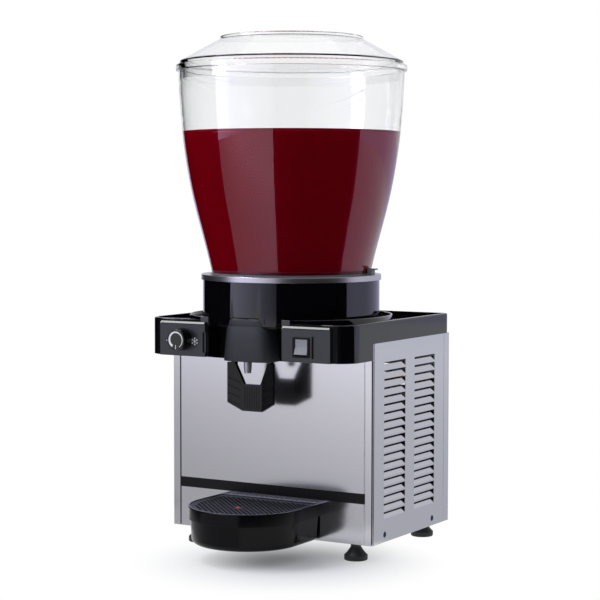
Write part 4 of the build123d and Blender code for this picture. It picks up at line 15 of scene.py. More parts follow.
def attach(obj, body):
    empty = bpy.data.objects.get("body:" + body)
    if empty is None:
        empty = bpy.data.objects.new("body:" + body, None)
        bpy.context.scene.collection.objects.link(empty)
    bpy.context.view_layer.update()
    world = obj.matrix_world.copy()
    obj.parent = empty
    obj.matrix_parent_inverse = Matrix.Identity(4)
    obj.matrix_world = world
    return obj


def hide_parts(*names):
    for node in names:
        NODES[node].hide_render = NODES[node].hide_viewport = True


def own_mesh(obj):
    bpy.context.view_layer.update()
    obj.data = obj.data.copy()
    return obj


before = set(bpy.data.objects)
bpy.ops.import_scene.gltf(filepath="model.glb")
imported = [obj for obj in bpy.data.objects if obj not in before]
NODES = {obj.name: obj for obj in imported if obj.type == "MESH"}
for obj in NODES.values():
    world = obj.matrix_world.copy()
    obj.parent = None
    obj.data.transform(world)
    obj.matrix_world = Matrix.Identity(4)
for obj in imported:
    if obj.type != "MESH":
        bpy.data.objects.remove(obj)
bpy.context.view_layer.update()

# Sizes of the machine that the new pieces share, in metres
AXIS_Y = 0.0105
FRONT_Y = -0.0495
FLOOR_OF_DISH = 0.4015
SEAL_TOP = 0.408
BOWL_FOOT_RADIUS = 0.1175
BOWL_MOUTH_RADIUS = 0.1663
BOWL_HEIGHT = 0.2955
BOWL_WALL = 0.003
# The bowl's flare as (share of its height, share of the way from foot to mouth)
BOWL_SHARES = ((0.0, 0.0), (0.152, 0.223), (0.332, 0.508), (0.511, 0.731), (0.690, 0.879))
BOWL_SHARES += ((0.870, 0.963), (1.0, 1.0))
DRINK_TOP = 0.615
DRINK_FOOT_RADIUS = 0.1085
DRINK_LIFT = 0.0004
DRINK_WET = 0.0003
KNOB_CENTRE = (-0.1034, 0.3135)
KNOB_FACE_Y = -0.1416
PLATE_Y = -0.1240
TRAY_ARC_Y = -0.1095
GRILLE_BOTTOM = 0.0748
GRILLE_TOP = 0.0778
FLOAT_Y = -0.1360


# Colour and shader helpers

def linear(code):
    """The linear RGBA of an sRGB hex colour."""
    channels = [int(code[i:i + 2], 16) / 255 for i in (1, 3, 5)]
    return tuple(c / 12.92 if c <= 0.04045 else ((c + 0.055) / 1.055) ** 2.4 for c in channels) + (1.0,)


def add_node(tree, kind, settings=None, links=None):
    """A shader node of that kind with its settings, fed by links: its inputs by name or number,
    each with the socket that feeds it."""
    node = tree.nodes.new(kind)
    for name, value in (settings or {}).items():
        if name in node.inputs:
            node.inputs[name].default_value = value
        else:
            setattr(node, name, value)
    for name, source in (links or {}).items():
        tree.links.new(source, node.inputs[name])
    return node


def blank(name):
    """An empty material with its output node."""
    material = bpy.data.materials.new(name)
    material.use_nodes = True
    tree = material.node_tree
    tree.nodes.clear()
    output = tree.nodes.new("ShaderNodeOutputMaterial")
    return material, tree, output


def surface(name, settings, bevel=0.0, grain=None):
    """A Principled material. bevel rounds edges in the shading by that many metres. grain
    is (scale by axis per metre, roughness swing, bump height in metres)."""
    material, tree, output = blank(name)
    shader = add_node(tree, "ShaderNodeBsdfPrincipled", settings)
    normal = None
    if bevel:
        normal = add_node(tree, "ShaderNodeBevel", {"Radius": bevel, "samples": 4}).outputs["Normal"]
    if grain:
        scales, swing, height = grain
        place = add_node(tree, "ShaderNodeTexCoord")
        stretch = add_node(tree, "ShaderNodeMapping", {"Scale": scales}, {"Vector": place.outputs["Object"]})
        noise = add_node(
            tree, "ShaderNodeTexNoise", {"Scale": 1.0, "Detail": 3.0}, {"Vector": stretch.outputs["Vector"]}
        )
        rough = settings["Roughness"]
        spread = add_node(
            tree,
            "ShaderNodeMapRange",
            {"From Min": 0.3, "From Max": 0.7, "To Min": rough - swing, "To Max": rough + swing},
            {"Value": noise.outputs["Fac"]},
        )
        tree.links.new(spread.outputs["Result"], shader.inputs["Roughness"])
        if height:
            bump = add_node(
                tree,
                "ShaderNodeBump",
                {"Strength": 1.0, "Distance": height},
                {"Height": noise.outputs["Fac"]},
            )
            if normal:
                tree.links.new(normal, bump.inputs["Normal"])
            normal = bump.outputs["Normal"]
    if normal:
        tree.links.new(normal, shader.inputs["Normal"])
    tree.links.new(shader.outputs["BSDF"], output.inputs["Surface"])
    return material


def clear_wall(name, settings):
    """A clear moulding that lets lamp light through to what it holds."""
    material, tree, output = blank(name)
    shader = add_node(tree, "ShaderNodeBsdfPrincipled", settings)
    path = add_node(tree, "ShaderNodeLightPath")
    open_air = add_node(tree, "ShaderNodeBsdfTransparent", {"Color": (0.97, 0.97, 0.97, 1.0)})
    sources = {"Fac": path.outputs["Is Shadow Ray"], 1: shader.outputs["BSDF"], 2: open_air.outputs["BSDF"]}
    mix = add_node(tree, "ShaderNodeMixShader", {}, sources)
    tree.links.new(mix.outputs["Shader"], output.inputs["Surface"])
    return material


def two_finishes(name, sides, front):
    """A Principled material with one finish on faces that look straight forward and another
    on the rest, their edges rounded in the shading."""
    material, tree, output = blank(name)
    rounded = add_node(tree, "ShaderNodeBevel", {"Radius": 0.0008, "samples": 4})
    normal = {"Normal": rounded.outputs["Normal"]}
    side_shader = add_node(tree, "ShaderNodeBsdfPrincipled", sides, normal)
    front_shader = add_node(tree, "ShaderNodeBsdfPrincipled", front, normal)
    shape = add_node(tree, "ShaderNodeNewGeometry")
    normals = {0: shape.outputs["Normal"]}
    facing = add_node(tree, "ShaderNodeVectorMath", {"operation": "DOT_PRODUCT"}, normals)
    facing.inputs[1].default_value = (0, -1, 0)
    ramp = add_node(
        tree, "ShaderNodeMapRange", {"From Min": 0.86, "From Max": 0.97}, {"Value": facing.outputs["Value"]}
    )
    sources = {"Fac": ramp.outputs["Result"], 1: side_shader.outputs["BSDF"], 2: front_shader.outputs["BSDF"]}
    mix = add_node(tree, "ShaderNodeMixShader", {}, sources)
    tree.links.new(mix.outputs["Shader"], output.inputs["Surface"])
    return material


# Stainless sheet, satin rolled: pale cool grey, a soft mirror with a faint level grain.
STAINLESS = surface(
    "stainless_satin_sheet",
    {"Base Color": linear("#c9c9ce"), "Metallic": 1.0, "Roughness": 0.14},
    bevel=0.0006,
    grain=((4.0, 4.0, 420.0), 0.012, 0.0),
)
# Stainless spun and brushed round for the trim ring: satin, its highlights soft.
SPUN_STEEL = surface(
    "stainless_spun_satin",
    {"Base Color": linear("#bcbbc0"), "Metallic": 1.0, "Roughness": 0.32},
    bevel=0.0008,
)
# Stainless drawn bright for the shafts: near mirror.
BRIGHT_STEEL = surface(
    "stainless_drawn_bright",
    {"Base Color": linear("#c6c6cb"), "Metallic": 1.0, "Roughness": 0.22},
    bevel=0.0004,
)
# Stainless bead blasted for the spout: matt, pale.
BLASTED_STEEL = surface(
    "stainless_bead_blasted",
    {"Base Color": linear("#b4b5ba"), "Metallic": 1.0, "Roughness": 0.5},
    bevel=0.0004,
)
# Zinc plated pressings inside: dull, slightly warm grey.
ZINC = surface(
    "zinc_plated_steel",
    {"Base Color": linear("#a7aaac"), "Metallic": 1.0, "Roughness": 0.38},
    bevel=0.0004,
    grain=((160.0, 160.0, 160.0), 0.08, 0.0),
)
# Black ABS from a polished mould: deep black with sharp highlights.
GLOSS_ABS = surface(
    "abs_black_polished",
    {"Base Color": linear("#050508"), "Roughness": 0.06, "IOR": 1.53},
    bevel=0.0008,
    grain=((60.0, 60.0, 60.0), 0.01, 0.0),
)
# Black ABS of the housing: polished like the collar, its front faces dulled by fine grain.
HOUSING_ABS = two_finishes(
    "abs_black_grained_front",
    {"Base Color": linear("#050508"), "Roughness": 0.06, "IOR": 1.53},
    {"Base Color": linear("#060608"), "Roughness": 0.4, "IOR": 1.53, "Specular IOR Level": 0.1},
)
# Blue-grey ABS of the plates' polished lips.
LIP_ABS = surface("abs_blue_grey_polished", {"Base Color": linear("#1a1d23"), "Roughness": 0.12, "IOR": 1.53})
# Dark blue-grey ABS from a fine-blasted mould: satin.
SATIN_ABS = surface(
    "abs_blue_grey_satin",
    {"Base Color": linear("#14161b"), "Roughness": 0.32, "IOR": 1.53},
    bevel=0.0007,
    grain=((900.0, 900.0, 900.0), 0.04, 0.000006),
)
# The same blue-grey ABS on the nose, matt.
NOSE_ABS = surface(
    "abs_blue_grey_matt",
    {"Base Color": linear("#1c1f25"), "Roughness": 0.5, "IOR": 1.53, "Specular IOR Level": 0.45},
    bevel=0.0006,
    grain=((900.0, 900.0, 900.0), 0.04, 0.000006),
)
# Black ABS of the tap and its lever, spark textured: dark with a broad sheen.
LEVER_ABS = surface(
    "abs_black_spark_textured",
    {"Base Color": linear("#060708"), "Roughness": 0.26, "IOR": 1.53, "Specular IOR Level": 0.3},
    bevel=0.0006,
    grain=((1100.0, 1100.0, 1100.0), 0.06, 0.00001),
)
# Black ABS of the drip tray: deep black, semi-gloss.
TRAY_ABS = surface(
    "abs_black_semi_gloss",
    {"Base Color": linear("#040406"), "Roughness": 0.18, "IOR": 1.53, "Specular IOR Level": 0.14},
    bevel=0.0009,
    grain=((90.0, 90.0, 90.0), 0.03, 0.000004),
)
# Black ABS of the tray's grille: textured, dull except on its edges.
GRILLE_ABS = surface(
    "abs_black_dull_grille",
    {"Base Color": linear("#060608"), "Roughness": 0.5, "IOR": 1.53, "Specular IOR Level": 0.3},
    bevel=0.0004,
)
# Mid grey nylon of the rocker key: even, slightly glossy.
GREY_NYLON = surface(
    "nylon_mid_grey",
    {"Base Color": linear("#74767e"), "Roughness": 0.35, "IOR": 1.53},
    bevel=0.0005,
)
# Smooth vinyl film of the bare stripe: flat black.
VINYL = surface(
    "vinyl_film_black",
    {"Base Color": linear("#08080a"), "Roughness": 0.3, "IOR": 1.52, "Specular IOR Level": 0.2},
)
# Clear polycarbonate, blow moulded: colourless, bright edges.
POLYCARBONATE = clear_wall(
    "polycarbonate_clear",
    {
        "Base Color": (0.984, 0.987, 0.991, 1.0),
        "Roughness": 0.0,
        "IOR": 1.49,
        "Transmission Weight": 1.0,
    },
)
# Cherry drink: deep opaque red against its clear wall, the light it throws back tinted pink.
DRINK = surface(
    "cherry_drink",
    {"Base Color": linear("#6a010d"), "Roughness": 0.1, "IOR": 1.53, "Specular Tint": (1.0, 0.12, 0.4, 1.0)},
)
# Nitrile rubber of the bowl seal: blue grey, dull.
SEAL_RUBBER = surface(
    "nitrile_rubber_grey", {"Base Color": linear("#5c626b"), "Roughness": 0.5, "IOR": 1.5}, bevel=0.0006
)
# Moulded rubber of feet and grommets: black, dull.
RUBBER = surface(
    "moulded_rubber_black", {"Base Color": linear("#121214"), "Roughness": 0.48, "IOR": 1.5}, bevel=0.0005
)
# Red acetal of the float.
RED_ACETAL = surface(
    "acetal_red", {"Base Color": linear("#c4161a"), "Roughness": 0.3, "IOR": 1.48}, bevel=0.0005
)
# White acetal of the mixer and plunger.
WHITE_ACETAL = surface(
    "acetal_white", {"Base Color": linear("#e6e6e2"), "Roughness": 0.35, "IOR": 1.48}, bevel=0.0005
)
# Blackened steel screws.
BLACK_OXIDE = surface(
    "steel_black_oxide", {"Base Color": linear("#2a2a2d"), "Metallic": 1.0, "Roughness": 0.4}, bevel=0.0002
)
# Copper refrigerant tube: drawn, a little dulled.
COPPER = surface(
    "copper_drawn_tube",
    {"Base Color": linear("#c4795a"), "Metallic": 1.0, "Roughness": 0.3},
    grain=((90.0, 90.0, 90.0), 0.08, 0.0),
)
# Aluminium fins: bare rolled foil.
ALUMINIUM = surface(
    "aluminium_bare_foil", {"Base Color": linear("#b9bbbf"), "Metallic": 1.0, "Roughness": 0.35}
)
# Die-cast aluminium motor housings: matt.
CAST_ALUMINIUM = surface(
    "aluminium_die_cast",
    {"Base Color": linear("#9a9c9f"), "Metallic": 1.0, "Roughness": 0.5},
    bevel=0.0006,
    grain=((700.0, 700.0, 700.0), 0.08, 0.00002),
)
# Black stove enamel of compressor, shroud and fan.
ENAMEL = surface(
    "stove_enamel_black", {"Base Color": linear("#0c0c0e"), "Roughness": 0.28, "IOR": 1.5}, bevel=0.0006
)
# Polyurethane foam: pale yellow, fine cells.
FOAM = surface(
    "polyurethane_foam",
    {"Base Color": linear("#e3d7b0"), "Roughness": 0.85, "IOR": 1.4},
    grain=((500.0, 500.0, 500.0), 0.05, 0.0003),
)
# White pad-printed ink of the dial marks.
WHITE_INK = surface("pad_printed_ink_white", {"Base Color": linear("#c2c5cc"), "Roughness": 0.45, "IOR": 1.5})
# Spring steel wire.
SPRING_STEEL = surface(
    "spring_steel_wire", {"Base Color": linear("#a5a7aa"), "Metallic": 1.0, "Roughness": 0.25}
)

FINISHES = (
    (STAINLESS, "front_panel left_side_panel right_side_panel back_panel cold_dish"),
    (ZINC, "base_pan motor_bracket fan_bracket lever_pin"),
    (SPUN_STEEL, "collar_trim_ring"),
    (BLASTED_STEEL, "spout"),
    (BRIGHT_STEEL, "drive_shaft fan_shaft"),
    (HOUSING_ABS, "top_housing"),
    (GLOSS_ABS, "neck_collar thermostat_knob"),
    (SATIN_ABS, "tap_cover left_control_plate right_control_plate"),
    (LEVER_ABS, "tap_lever tap_body"),
    (TRAY_ABS, "drip_tray switch_body"),
    (GRILLE_ABS, "tray_grille"),
    (GREY_NYLON, "switch_rocker thermostat"),
    (VINYL, "front_stripe"),
    (POLYCARBONATE, "bowl lid"),
    (RUBBER, "foot_left_front foot_left_back foot_right_front foot_right_back"),
    (RUBBER, "compressor_grommets cord_gland"),
    (SEAL_RUBBER, "bowl_seal plunger_seal"),
    (RED_ACETAL, "level_float"),
    (BLACK_OXIDE, "side_panel_screws"),
    (WHITE_ACETAL, "mixer_paddle paddle_post tap_plunger"),
    (FOAM, "insulation"),
    (COPPER, "evaporator_coil discharge_pipe suction_pipe condenser_pipe liquid_pipe filter_drier"),
    (ALUMINIUM, "condenser"),
    (ENAMEL, "compressor fan_shroud fan_blades"),
    (CAST_ALUMINIUM, "mixer_motor fan_motor drive_magnet"),
    (SPRING_STEEL, "tap_spring"),
)
for finish, names in FINISHES:
    for name in names.split():
        mesh = NODES[name].data
        mesh.materials.clear()
        mesh.materials.append(finish)


# Mesh helpers

def piece(name, points, faces, material, body, smooth=True):
    """A mesh object from point and face arrays, riding on a body."""
    mesh = bpy.data.meshes.new(name)
    mesh.from_pydata(np.asarray(points, float).tolist(), [], [tuple(int(i) for i in f) for f in faces])
    mesh.polygons.foreach_set("use_smooth", np.full(len(mesh.polygons), smooth))
    mesh.materials.append(material)
    mesh.update()
    thing = bpy.data.objects.new(name, mesh)
    bpy.context.scene.collection.objects.link(thing)
    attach(thing, body)
    return thing


def grid_faces(rows, columns, wrap):
    """Quads of a grid of rows by columns, joined round its columns where wrap is true."""
    across = np.arange(columns if wrap else columns - 1)
    low = (np.arange(rows - 1)[:, None] * columns + across[None, :]).ravel()
    right = (np.arange(rows - 1)[:, None] * columns + ((across + 1) % columns)[None, :]).ravel()
    return np.stack([low, right, right + columns, low + columns], axis=1)


def turned(profile, centre, steps):
    """Points of a profile of (radius, height) turned about an upright axis:
    x = cx + r cos t, y = cy + r sin t, z = h, for t round a full circle."""
    profile = np.asarray(profile, float)
    t = np.linspace(0, 2 * pi, steps, endpoint=False)
    x = centre[0] + profile[:, :1] * np.cos(t)
    y = centre[1] + profile[:, :1] * np.sin(t)
    z = np.repeat(profile[:, 1:], steps, axis=1)
    return np.stack([x, y, z], axis=2).reshape(-1, 3)


def capped(rings, rows, low_pole, high_pole):
    """Points and faces of rows of rings of the same count, closed to a point at both ends."""
    steps = len(rings) // rows
    points = np.concatenate([rings, [low_pole, high_pole]])
    here = np.arange(steps)
    after = (here + 1) % steps
    last = len(rings) - steps
    first_fan = np.stack([np.full(steps, len(rings)), after, here], axis=1)
    last_fan = np.stack([np.full(steps, len(rings) + 1), last + here, last + after], axis=1)
    return points, grid_faces(rows, steps, True).tolist() + first_fan.tolist() + last_fan.tolist()


def closed_turning(profile, centre, steps):
    """Points and faces of a turned profile, closed to a point on the axis at both ends."""
    profile = np.asarray(profile, float)
    low_pole = (centre[0], centre[1], profile[0, 1])
    high_pole = (centre[0], centre[1], profile[-1, 1])
    return capped(turned(profile, centre, steps), len(profile), low_pole, high_pole)


def box_faces(low, high):
    """The eight corners of a box and its six outward faces."""
    across, along, upward = zip(low, high)
    corners = np.array([(x, y, z) for z in upward for y in along for x in across])
    return corners, [(0, 2, 3, 1), (4, 5, 7, 6), (0, 1, 5, 4), (2, 6, 7, 3), (0, 4, 6, 2), (1, 3, 7, 5)]


def node_box(name):
    """The lowest and highest corner of a node's mesh."""
    mesh = NODES[name].data
    flat = np.empty(len(mesh.vertices) * 3)
    mesh.vertices.foreach_get("co", flat)
    points = flat.reshape(-1, 3)
    return points.min(axis=0), points.max(axis=0)


def smooth_through(points, samples):
    """Natural cubic spline through (position, value) points, read at the sample positions."""
    known = np.asarray(points, float)
    x = known[:, 0]
    y = known[:, 1]
    h = np.diff(x)
    n = len(x)
    matrix = np.eye(n)
    right = np.zeros(n)
    inner = np.arange(1, n - 1)
    matrix[inner, inner - 1] = h[:-1]
    matrix[inner, inner] = 2 * (h[:-1] + h[1:])
    matrix[inner, inner + 1] = h[1:]
    right[inner] = 6 * (np.diff(y)[1:] / h[1:] - np.diff(y)[:-1] / h[:-1])
    curve = np.linalg.solve(matrix, right)
    i = np.clip(np.searchsorted(x, samples) - 1, 0, n - 2)
    a = x[i + 1] - samples
    b = samples - x[i]
    return (
        (curve[i] * a**3 + curve[i + 1] * b**3) / (6 * h[i])
        + (y[i] / h[i] - curve[i] * h[i] / 6) * a
        + (y[i + 1] / h[i] - curve[i + 1] * h[i] / 6) * b
    )


# The drink in the bowl

def drink_body():
    """A solid of revolution that wets the inside of the bowl up to the drink's level, with a
    meniscus rising at its edge: rings of (radius, height) turned about the bowl's axis, closed
    by a fan to one point on the axis at both ends."""
    rise = np.linspace(0, (DRINK_TOP - SEAL_TOP) / BOWL_HEIGHT, 40)
    out = smooth_through(BOWL_SHARES, rise)
    radius = BOWL_FOOT_RADIUS + out * (BOWL_MOUTH_RADIUS - BOWL_FOOT_RADIUS) - BOWL_WALL + DRINK_WET
    height = SEAL_TOP + DRINK_LIFT + rise * BOWL_HEIGHT
    wall = np.stack([radius, height], axis=1)
    edge = radius[-1]
    base = [(DRINK_FOOT_RADIUS, FLOOR_OF_DISH + DRINK_LIFT), (DRINK_FOOT_RADIUS, SEAL_TOP + DRINK_LIFT)]
    top = [(edge - 0.0006, height[-1] - 0.0002), (edge - 0.0015, height[-1] - 0.0012)]
    top += [(edge - 0.004, height[-1] - 0.0018), (edge - 0.02, height[-1] - 0.002)]
    return closed_turning(np.concatenate([base, wall, top]), (0, AXIS_Y), 160)


drink_points, drink_faces = drink_body()
piece("drink", drink_points, drink_faces, DRINK, "bowl")


# The nose of the tap, squarer in plan than its frame piece

NOSE_Y = -0.098
NOSE_DEPTH = 0.0259
NOSE_SQUARENESS = 3.6
NOSE_STEPS = 120
NOSE_RINGS = ((0.2852, 0.0395), (0.2862, 0.0402), (0.320, 0.0372), (0.3345, 0.0356), (0.3352, 0.0350))
NOSE_RINGS += ((0.3360, 0.0350), (0.3367, 0.0355), (0.3440, 0.0346), (0.3462, 0.0336), (0.3468, 0.0316))


def nose():
    """A stack of squared ovals, closed to a point at both ends: at each height of NOSE_RINGS
    with its half width w, x = w c |c|^(2/n - 1) and y = y0 + d s |s|^(2/n - 1), c = cos t,
    s = sin t, n = NOSE_SQUARENESS, with the depth d in step with w."""
    t = np.linspace(0, 2 * pi, NOSE_STEPS, endpoint=False)
    square = 2 / NOSE_SQUARENESS - 1
    across = np.cos(t) * np.maximum(np.abs(np.cos(t)), 1e-6) ** square
    along = np.sin(t) * np.maximum(np.abs(np.sin(t)), 1e-6) ** square
    heights = np.array([z for z, _ in NOSE_RINGS])
    widths = np.array([w for _, w in NOSE_RINGS])
    x = widths[:, None] * across
    y = NOSE_Y + (NOSE_DEPTH * widths / widths.max())[:, None] * along
    z = np.repeat(heights[:, None], NOSE_STEPS, axis=1)
    rings = np.stack([x, y, z], axis=2).reshape(-1, 3)
    return capped(rings, len(heights), (0, NOSE_Y, heights[0]), (0, NOSE_Y, heights[-1]))


nose_points, nose_faces = nose()
nose_piece = piece("nose", nose_points, nose_faces, NOSE_ABS, "cabinet")
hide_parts("tap_cover")


# The housing's recess, open at the top round the nose

RECESS_SIDE = 0.0614
RECESS_BACK_Y = -0.088
CUT_FRONT_Y = -0.13
CUT_LOW = 0.33
CUT_HIGH = 0.36
COLLAR_RADIUS = 0.1309


def loose_mesh(name, points, faces):
    """An object in the scene from points and faces, to cut with."""
    mesh = bpy.data.meshes.new(name)
    mesh.from_pydata(np.asarray(points).tolist(), [], [tuple(int(i) for i in f) for f in faces])
    thing = bpy.data.objects.new(name, mesh)
    bpy.context.scene.collection.objects.link(thing)
    return thing


def take_away(thing, cutter):
    """The mesh of an object less another object."""
    less = thing.modifiers.new("less", "BOOLEAN")
    less.operation = "DIFFERENCE"
    less.object = cutter
    return bpy.data.meshes.new_from_object(thing.evaluated_get(bpy.context.evaluated_depsgraph_get()))


# The cutter is a box over the recess that leaves the round collar whole.
recess = box_faces((-RECESS_SIDE, CUT_FRONT_Y, CUT_LOW), (RECESS_SIDE, RECESS_BACK_Y, CUT_HIGH))
block = loose_mesh("block", *recess)
keep = loose_mesh("keep", *closed_turning(((COLLAR_RADIUS, 0.3), (COLLAR_RADIUS, 0.4)), (0, AXIS_Y), 240))
cutter = bpy.data.objects.new("cutter", take_away(block, keep))
bpy.context.scene.collection.objects.link(cutter)
for cut_name in ("top_housing", "neck_collar"):
    node = NODES[cut_name]
    shell = bpy.data.objects.new("shell", node.data.copy())
    bpy.context.scene.collection.objects.link(shell)
    shell.matrix_world = node.matrix_world
    cut_mesh = take_away(shell, cutter)
    cut_mesh.transform(node.matrix_world)
    bpy.data.objects.remove(shell)
    opened = bpy.data.objects.new("open_" + cut_name, cut_mesh)
    bpy.context.scene.collection.objects.link(opened)
    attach(opened, "cabinet")
    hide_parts(cut_name)
for tool in (block, keep, cutter):
    bpy.data.objects.remove(tool)

# Black strips where the front panel meets the side panels: painted shade of the gaps between the sheets

GAP_PROUD = 0.00015
GAP_SUNK = 0.0002
PANEL_LOW = 0.0265
PANEL_HIGH = 0.289
# Name, middle and half width of each
CORNER_GAP_SHADES = (("right_corner_gap_shade", 0.1690, 0.001), ("left_corner_gap_shade", -0.1576, 0.0009))
for gap_shade_name, middle, half in CORNER_GAP_SHADES:
    gap_points, gap_faces = box_faces(
        (middle - half, FRONT_Y - GAP_PROUD, PANEL_LOW), (middle + half, FRONT_Y + GAP_SUNK, PANEL_HIGH)
    )
    # Each strip takes the black rubber finish as painted shade of its gap
    piece(gap_shade_name, gap_points, gap_faces, RUBBER, "cabinet", smooth=False)


# The tap's spring, which on the tap shortens below its upper seat as the plunger rises: here its lowest
# height is read and it gets a mesh of its own

spring_foot = float(node_box("tap_spring")[0][2])
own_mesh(NODES["tap_spring"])


# The lips of the control plates

LIP_INSET = 0.0012
LIP_SECTION = ((-0.0012, -0.0004), (0.0012, 0.0022), (0.0024, 0.0010), (0.0012, -0.0004))


def plate_lip(name):
    """A prism along the top of a control plate, its section of (y, z) leaning back at 43 degrees."""
    low, high = node_box(name)
    y = np.array([low[1] + dy for dy, _ in LIP_SECTION])
    z = np.array([high[2] + dz for _, dz in LIP_SECTION])
    ends = [np.column_stack([np.full(4, x), y, z]) for x in (low[0] + LIP_INSET, high[0] - LIP_INSET)]
    ring = np.arange(4)
    sides = np.stack([ring, (ring + 1) % 4, (ring + 1) % 4 + 4, ring + 4], axis=1).tolist()
    return np.concatenate(ends), sides + [[3, 2, 1, 0], [4, 5, 6, 7]]


for plate in ("left_control_plate", "right_control_plate"):
    lip_points, lip_faces = plate_lip(plate)
    piece(plate + "_lip", lip_points, lip_faces, LIP_ABS, "cabinet", smooth=False)


# The grille of the drip tray, finer than its frame piece

GRILLE_HALF_WIDTH = 0.0832
GRILLE_BACK_Y = -0.0526
# The moulded mesh is finer. Its cells are drawn coarser, so that they read at the photograph's size.
GRILLE_PITCH = 0.0085
# Half diagonal of a hole
GRILLE_HOLE = 0.0031
GRILLE_BORDER = 0.004
GRILLE_RIM = 0.003
EYE_CLEAR = 0.0045
EYE_OUTER = 0.0066
EYE_INNER = 0.0037


def inside_tray(points, inset):
    """Points of the plan drawn in to the tray's outline less inset: clipped to the straight
    sides and back, and in front of the arc's centre scaled onto the arc where they pass it."""
    drawn = np.array(points, float)
    reach = GRILLE_HALF_WIDTH - inset
    drawn[..., 1] = np.minimum(drawn[..., 1], GRILLE_BACK_Y - inset)
    ahead = drawn[..., 1] < TRAY_ARC_Y
    drawn[..., 0] = np.where(ahead, drawn[..., 0], np.clip(drawn[..., 0], -reach, reach))
    away = np.hypot(drawn[..., 0], drawn[..., 1] - TRAY_ARC_Y)
    share = np.where(ahead & (away > reach), reach / np.maximum(away, 1e-9), 1.0)
    drawn[..., 0] = drawn[..., 0] * share
    drawn[..., 1] = TRAY_ARC_Y + (drawn[..., 1] - TRAY_ARC_Y) * share
    return drawn


def tray_outline(inset):
    """The tray's D-shaped outline less inset, as points in order: the arc, then both back corners."""
    reach = GRILLE_HALF_WIDTH - inset
    t = np.linspace(pi, 2 * pi, 61)
    arc = np.stack([reach * np.cos(t), TRAY_ARC_Y + reach * np.sin(t)], axis=1)
    back = GRILLE_BACK_Y - inset
    return np.concatenate([arc, [[reach, back], [-reach, back]]])


def closed_band(outer, inner, low, high):
    """A flat band between two outlines of the same count, from height low to high."""
    count = len(outer)
    rings = [
        np.column_stack([outer, np.full(count, low)]),
        np.column_stack([outer, np.full(count, high)]),
        np.column_stack([inner, np.full(count, high)]),
        np.column_stack([inner, np.full(count, low)]),
    ]
    points = np.concatenate(rings)
    faces = grid_faces(4, count, True)
    last = np.arange(count)
    close = np.stack([last + 3 * count, (last + 1) % count + 3 * count, (last + 1) % count, last], axis=1)
    return points, np.concatenate([faces, close])


def lattice():
    """Diamond cells on a staggered grid, x = (i + (j mod 2) / 2) p and y = y0 + j p / 2. A cell
    well inside the outline has a diamond hole; one near the outline is solid and drawn in to it."""
    half = GRILLE_PITCH / 2
    i, j = np.meshgrid(np.arange(-15, 16), np.arange(-24, 32))
    centre = np.stack([(i + (j % 2) / 2) * GRILLE_PITCH, FLOAT_Y + j * half], axis=-1).reshape(-1, 2)
    corner = np.array([[half, 0], [0, half], [-half, 0], [0, -half]])
    cells = centre[:, None, :] + corner[None, :, :]
    near_eye = np.hypot(centre[:, 0], centre[:, 1] - FLOAT_Y) < EYE_CLEAR
    drawn = inside_tray(cells, 0.0)
    area = 0.5 * np.abs(
        (drawn[:, 2, 0] - drawn[:, 0, 0]) * (drawn[:, 3, 1] - drawn[:, 1, 1])
        - (drawn[:, 3, 0] - drawn[:, 1, 0]) * (drawn[:, 2, 1] - drawn[:, 0, 1])
    )
    whole = np.all(np.abs(inside_tray(cells, GRILLE_BORDER) - cells) < 1e-9, axis=(1, 2))
    keep = (area > 1e-7) & ~near_eye
    pierced = drawn[keep & whole]
    solid = drawn[keep & ~whole]
    hole = centre[keep & whole][:, None, :] + corner[None, :, :] * (GRILLE_HOLE / half)

    def at(plan, z):
        return np.concatenate([plan, np.full(plan.shape[:2] + (1,), z)], axis=2)

    layers = [at(pierced, GRILLE_TOP), at(hole, GRILLE_TOP)]
    layers += [at(hole, GRILLE_BOTTOM), at(pierced, GRILLE_BOTTOM)]
    frames = np.stack(layers, axis=1).reshape(-1, 3)
    step = np.arange(4)
    ahead = (step + 1) % 4
    belt = np.stack([step, ahead, ahead + 4, step + 4], axis=1)
    quad = np.concatenate([belt + 4 * k for k in range(3)])
    frame_faces = (np.arange(len(pierced))[:, None, None] * 16 + quad[None]).reshape(-1, 4)
    plates = np.concatenate([at(solid, GRILLE_TOP), at(solid, GRILLE_BOTTOM)], axis=1).reshape(-1, 3)
    first = np.arange(len(solid))[:, None] * 8 + len(frames)
    plate_faces = np.concatenate([first + np.array([[0, 1, 2, 3]]), first + np.array([[7, 6, 5, 4]])])
    return np.concatenate([frames, plates]), np.concatenate([frame_faces, plate_faces])


def grille():
    """The lattice with a raised rim round its outline and an eye for the float."""
    parts = [lattice()]
    parts.append(closed_band(tray_outline(0.0), tray_outline(GRILLE_RIM), GRILLE_BOTTOM, GRILLE_TOP + 0.0003))
    t = np.linspace(0, 2 * pi, 32, endpoint=False)
    eye = np.stack([np.cos(t), np.sin(t)], axis=1)
    middle = np.array([0, FLOAT_Y])
    rings = (middle + eye * EYE_OUTER, middle + eye * EYE_INNER)
    parts.append(closed_band(*rings, GRILLE_BOTTOM + 0.0002, GRILLE_TOP + 0.0002))
    points = np.concatenate([p for p, _ in parts])
    starts = np.cumsum([0] + [len(p) for p, _ in parts[:-1]])
    faces = np.concatenate([f + s for (_, f), s in zip(parts, starts)])
    return points, faces


grille_points, grille_faces = grille()
fine_grille = piece(
    "fine_grille", grille_points, grille_faces, GRILLE_ABS, "grille", smooth=False
)
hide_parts("tray_grille")


# Printed marks on the dial and its plate

def raised(outline, y_face, thickness):
    """Points and faces of a flat mark: its outline in X and Z, carried forward from
    the face at y_face by its thickness."""
    outline = np.asarray(outline, float)
    count = len(outline)
    back = np.stack([outline[:, 0], np.full(count, y_face), outline[:, 1]], axis=1)
    front = back - np.array([0, thickness, 0])
    points = np.concatenate([back, front])
    ring = np.arange(count)
    sides = np.stack([ring, (ring + 1) % count, (ring + 1) % count + count, ring + count], axis=1)
    return points, [tuple(f) for f in sides] + [tuple(ring + count)] + [tuple(ring[::-1])]


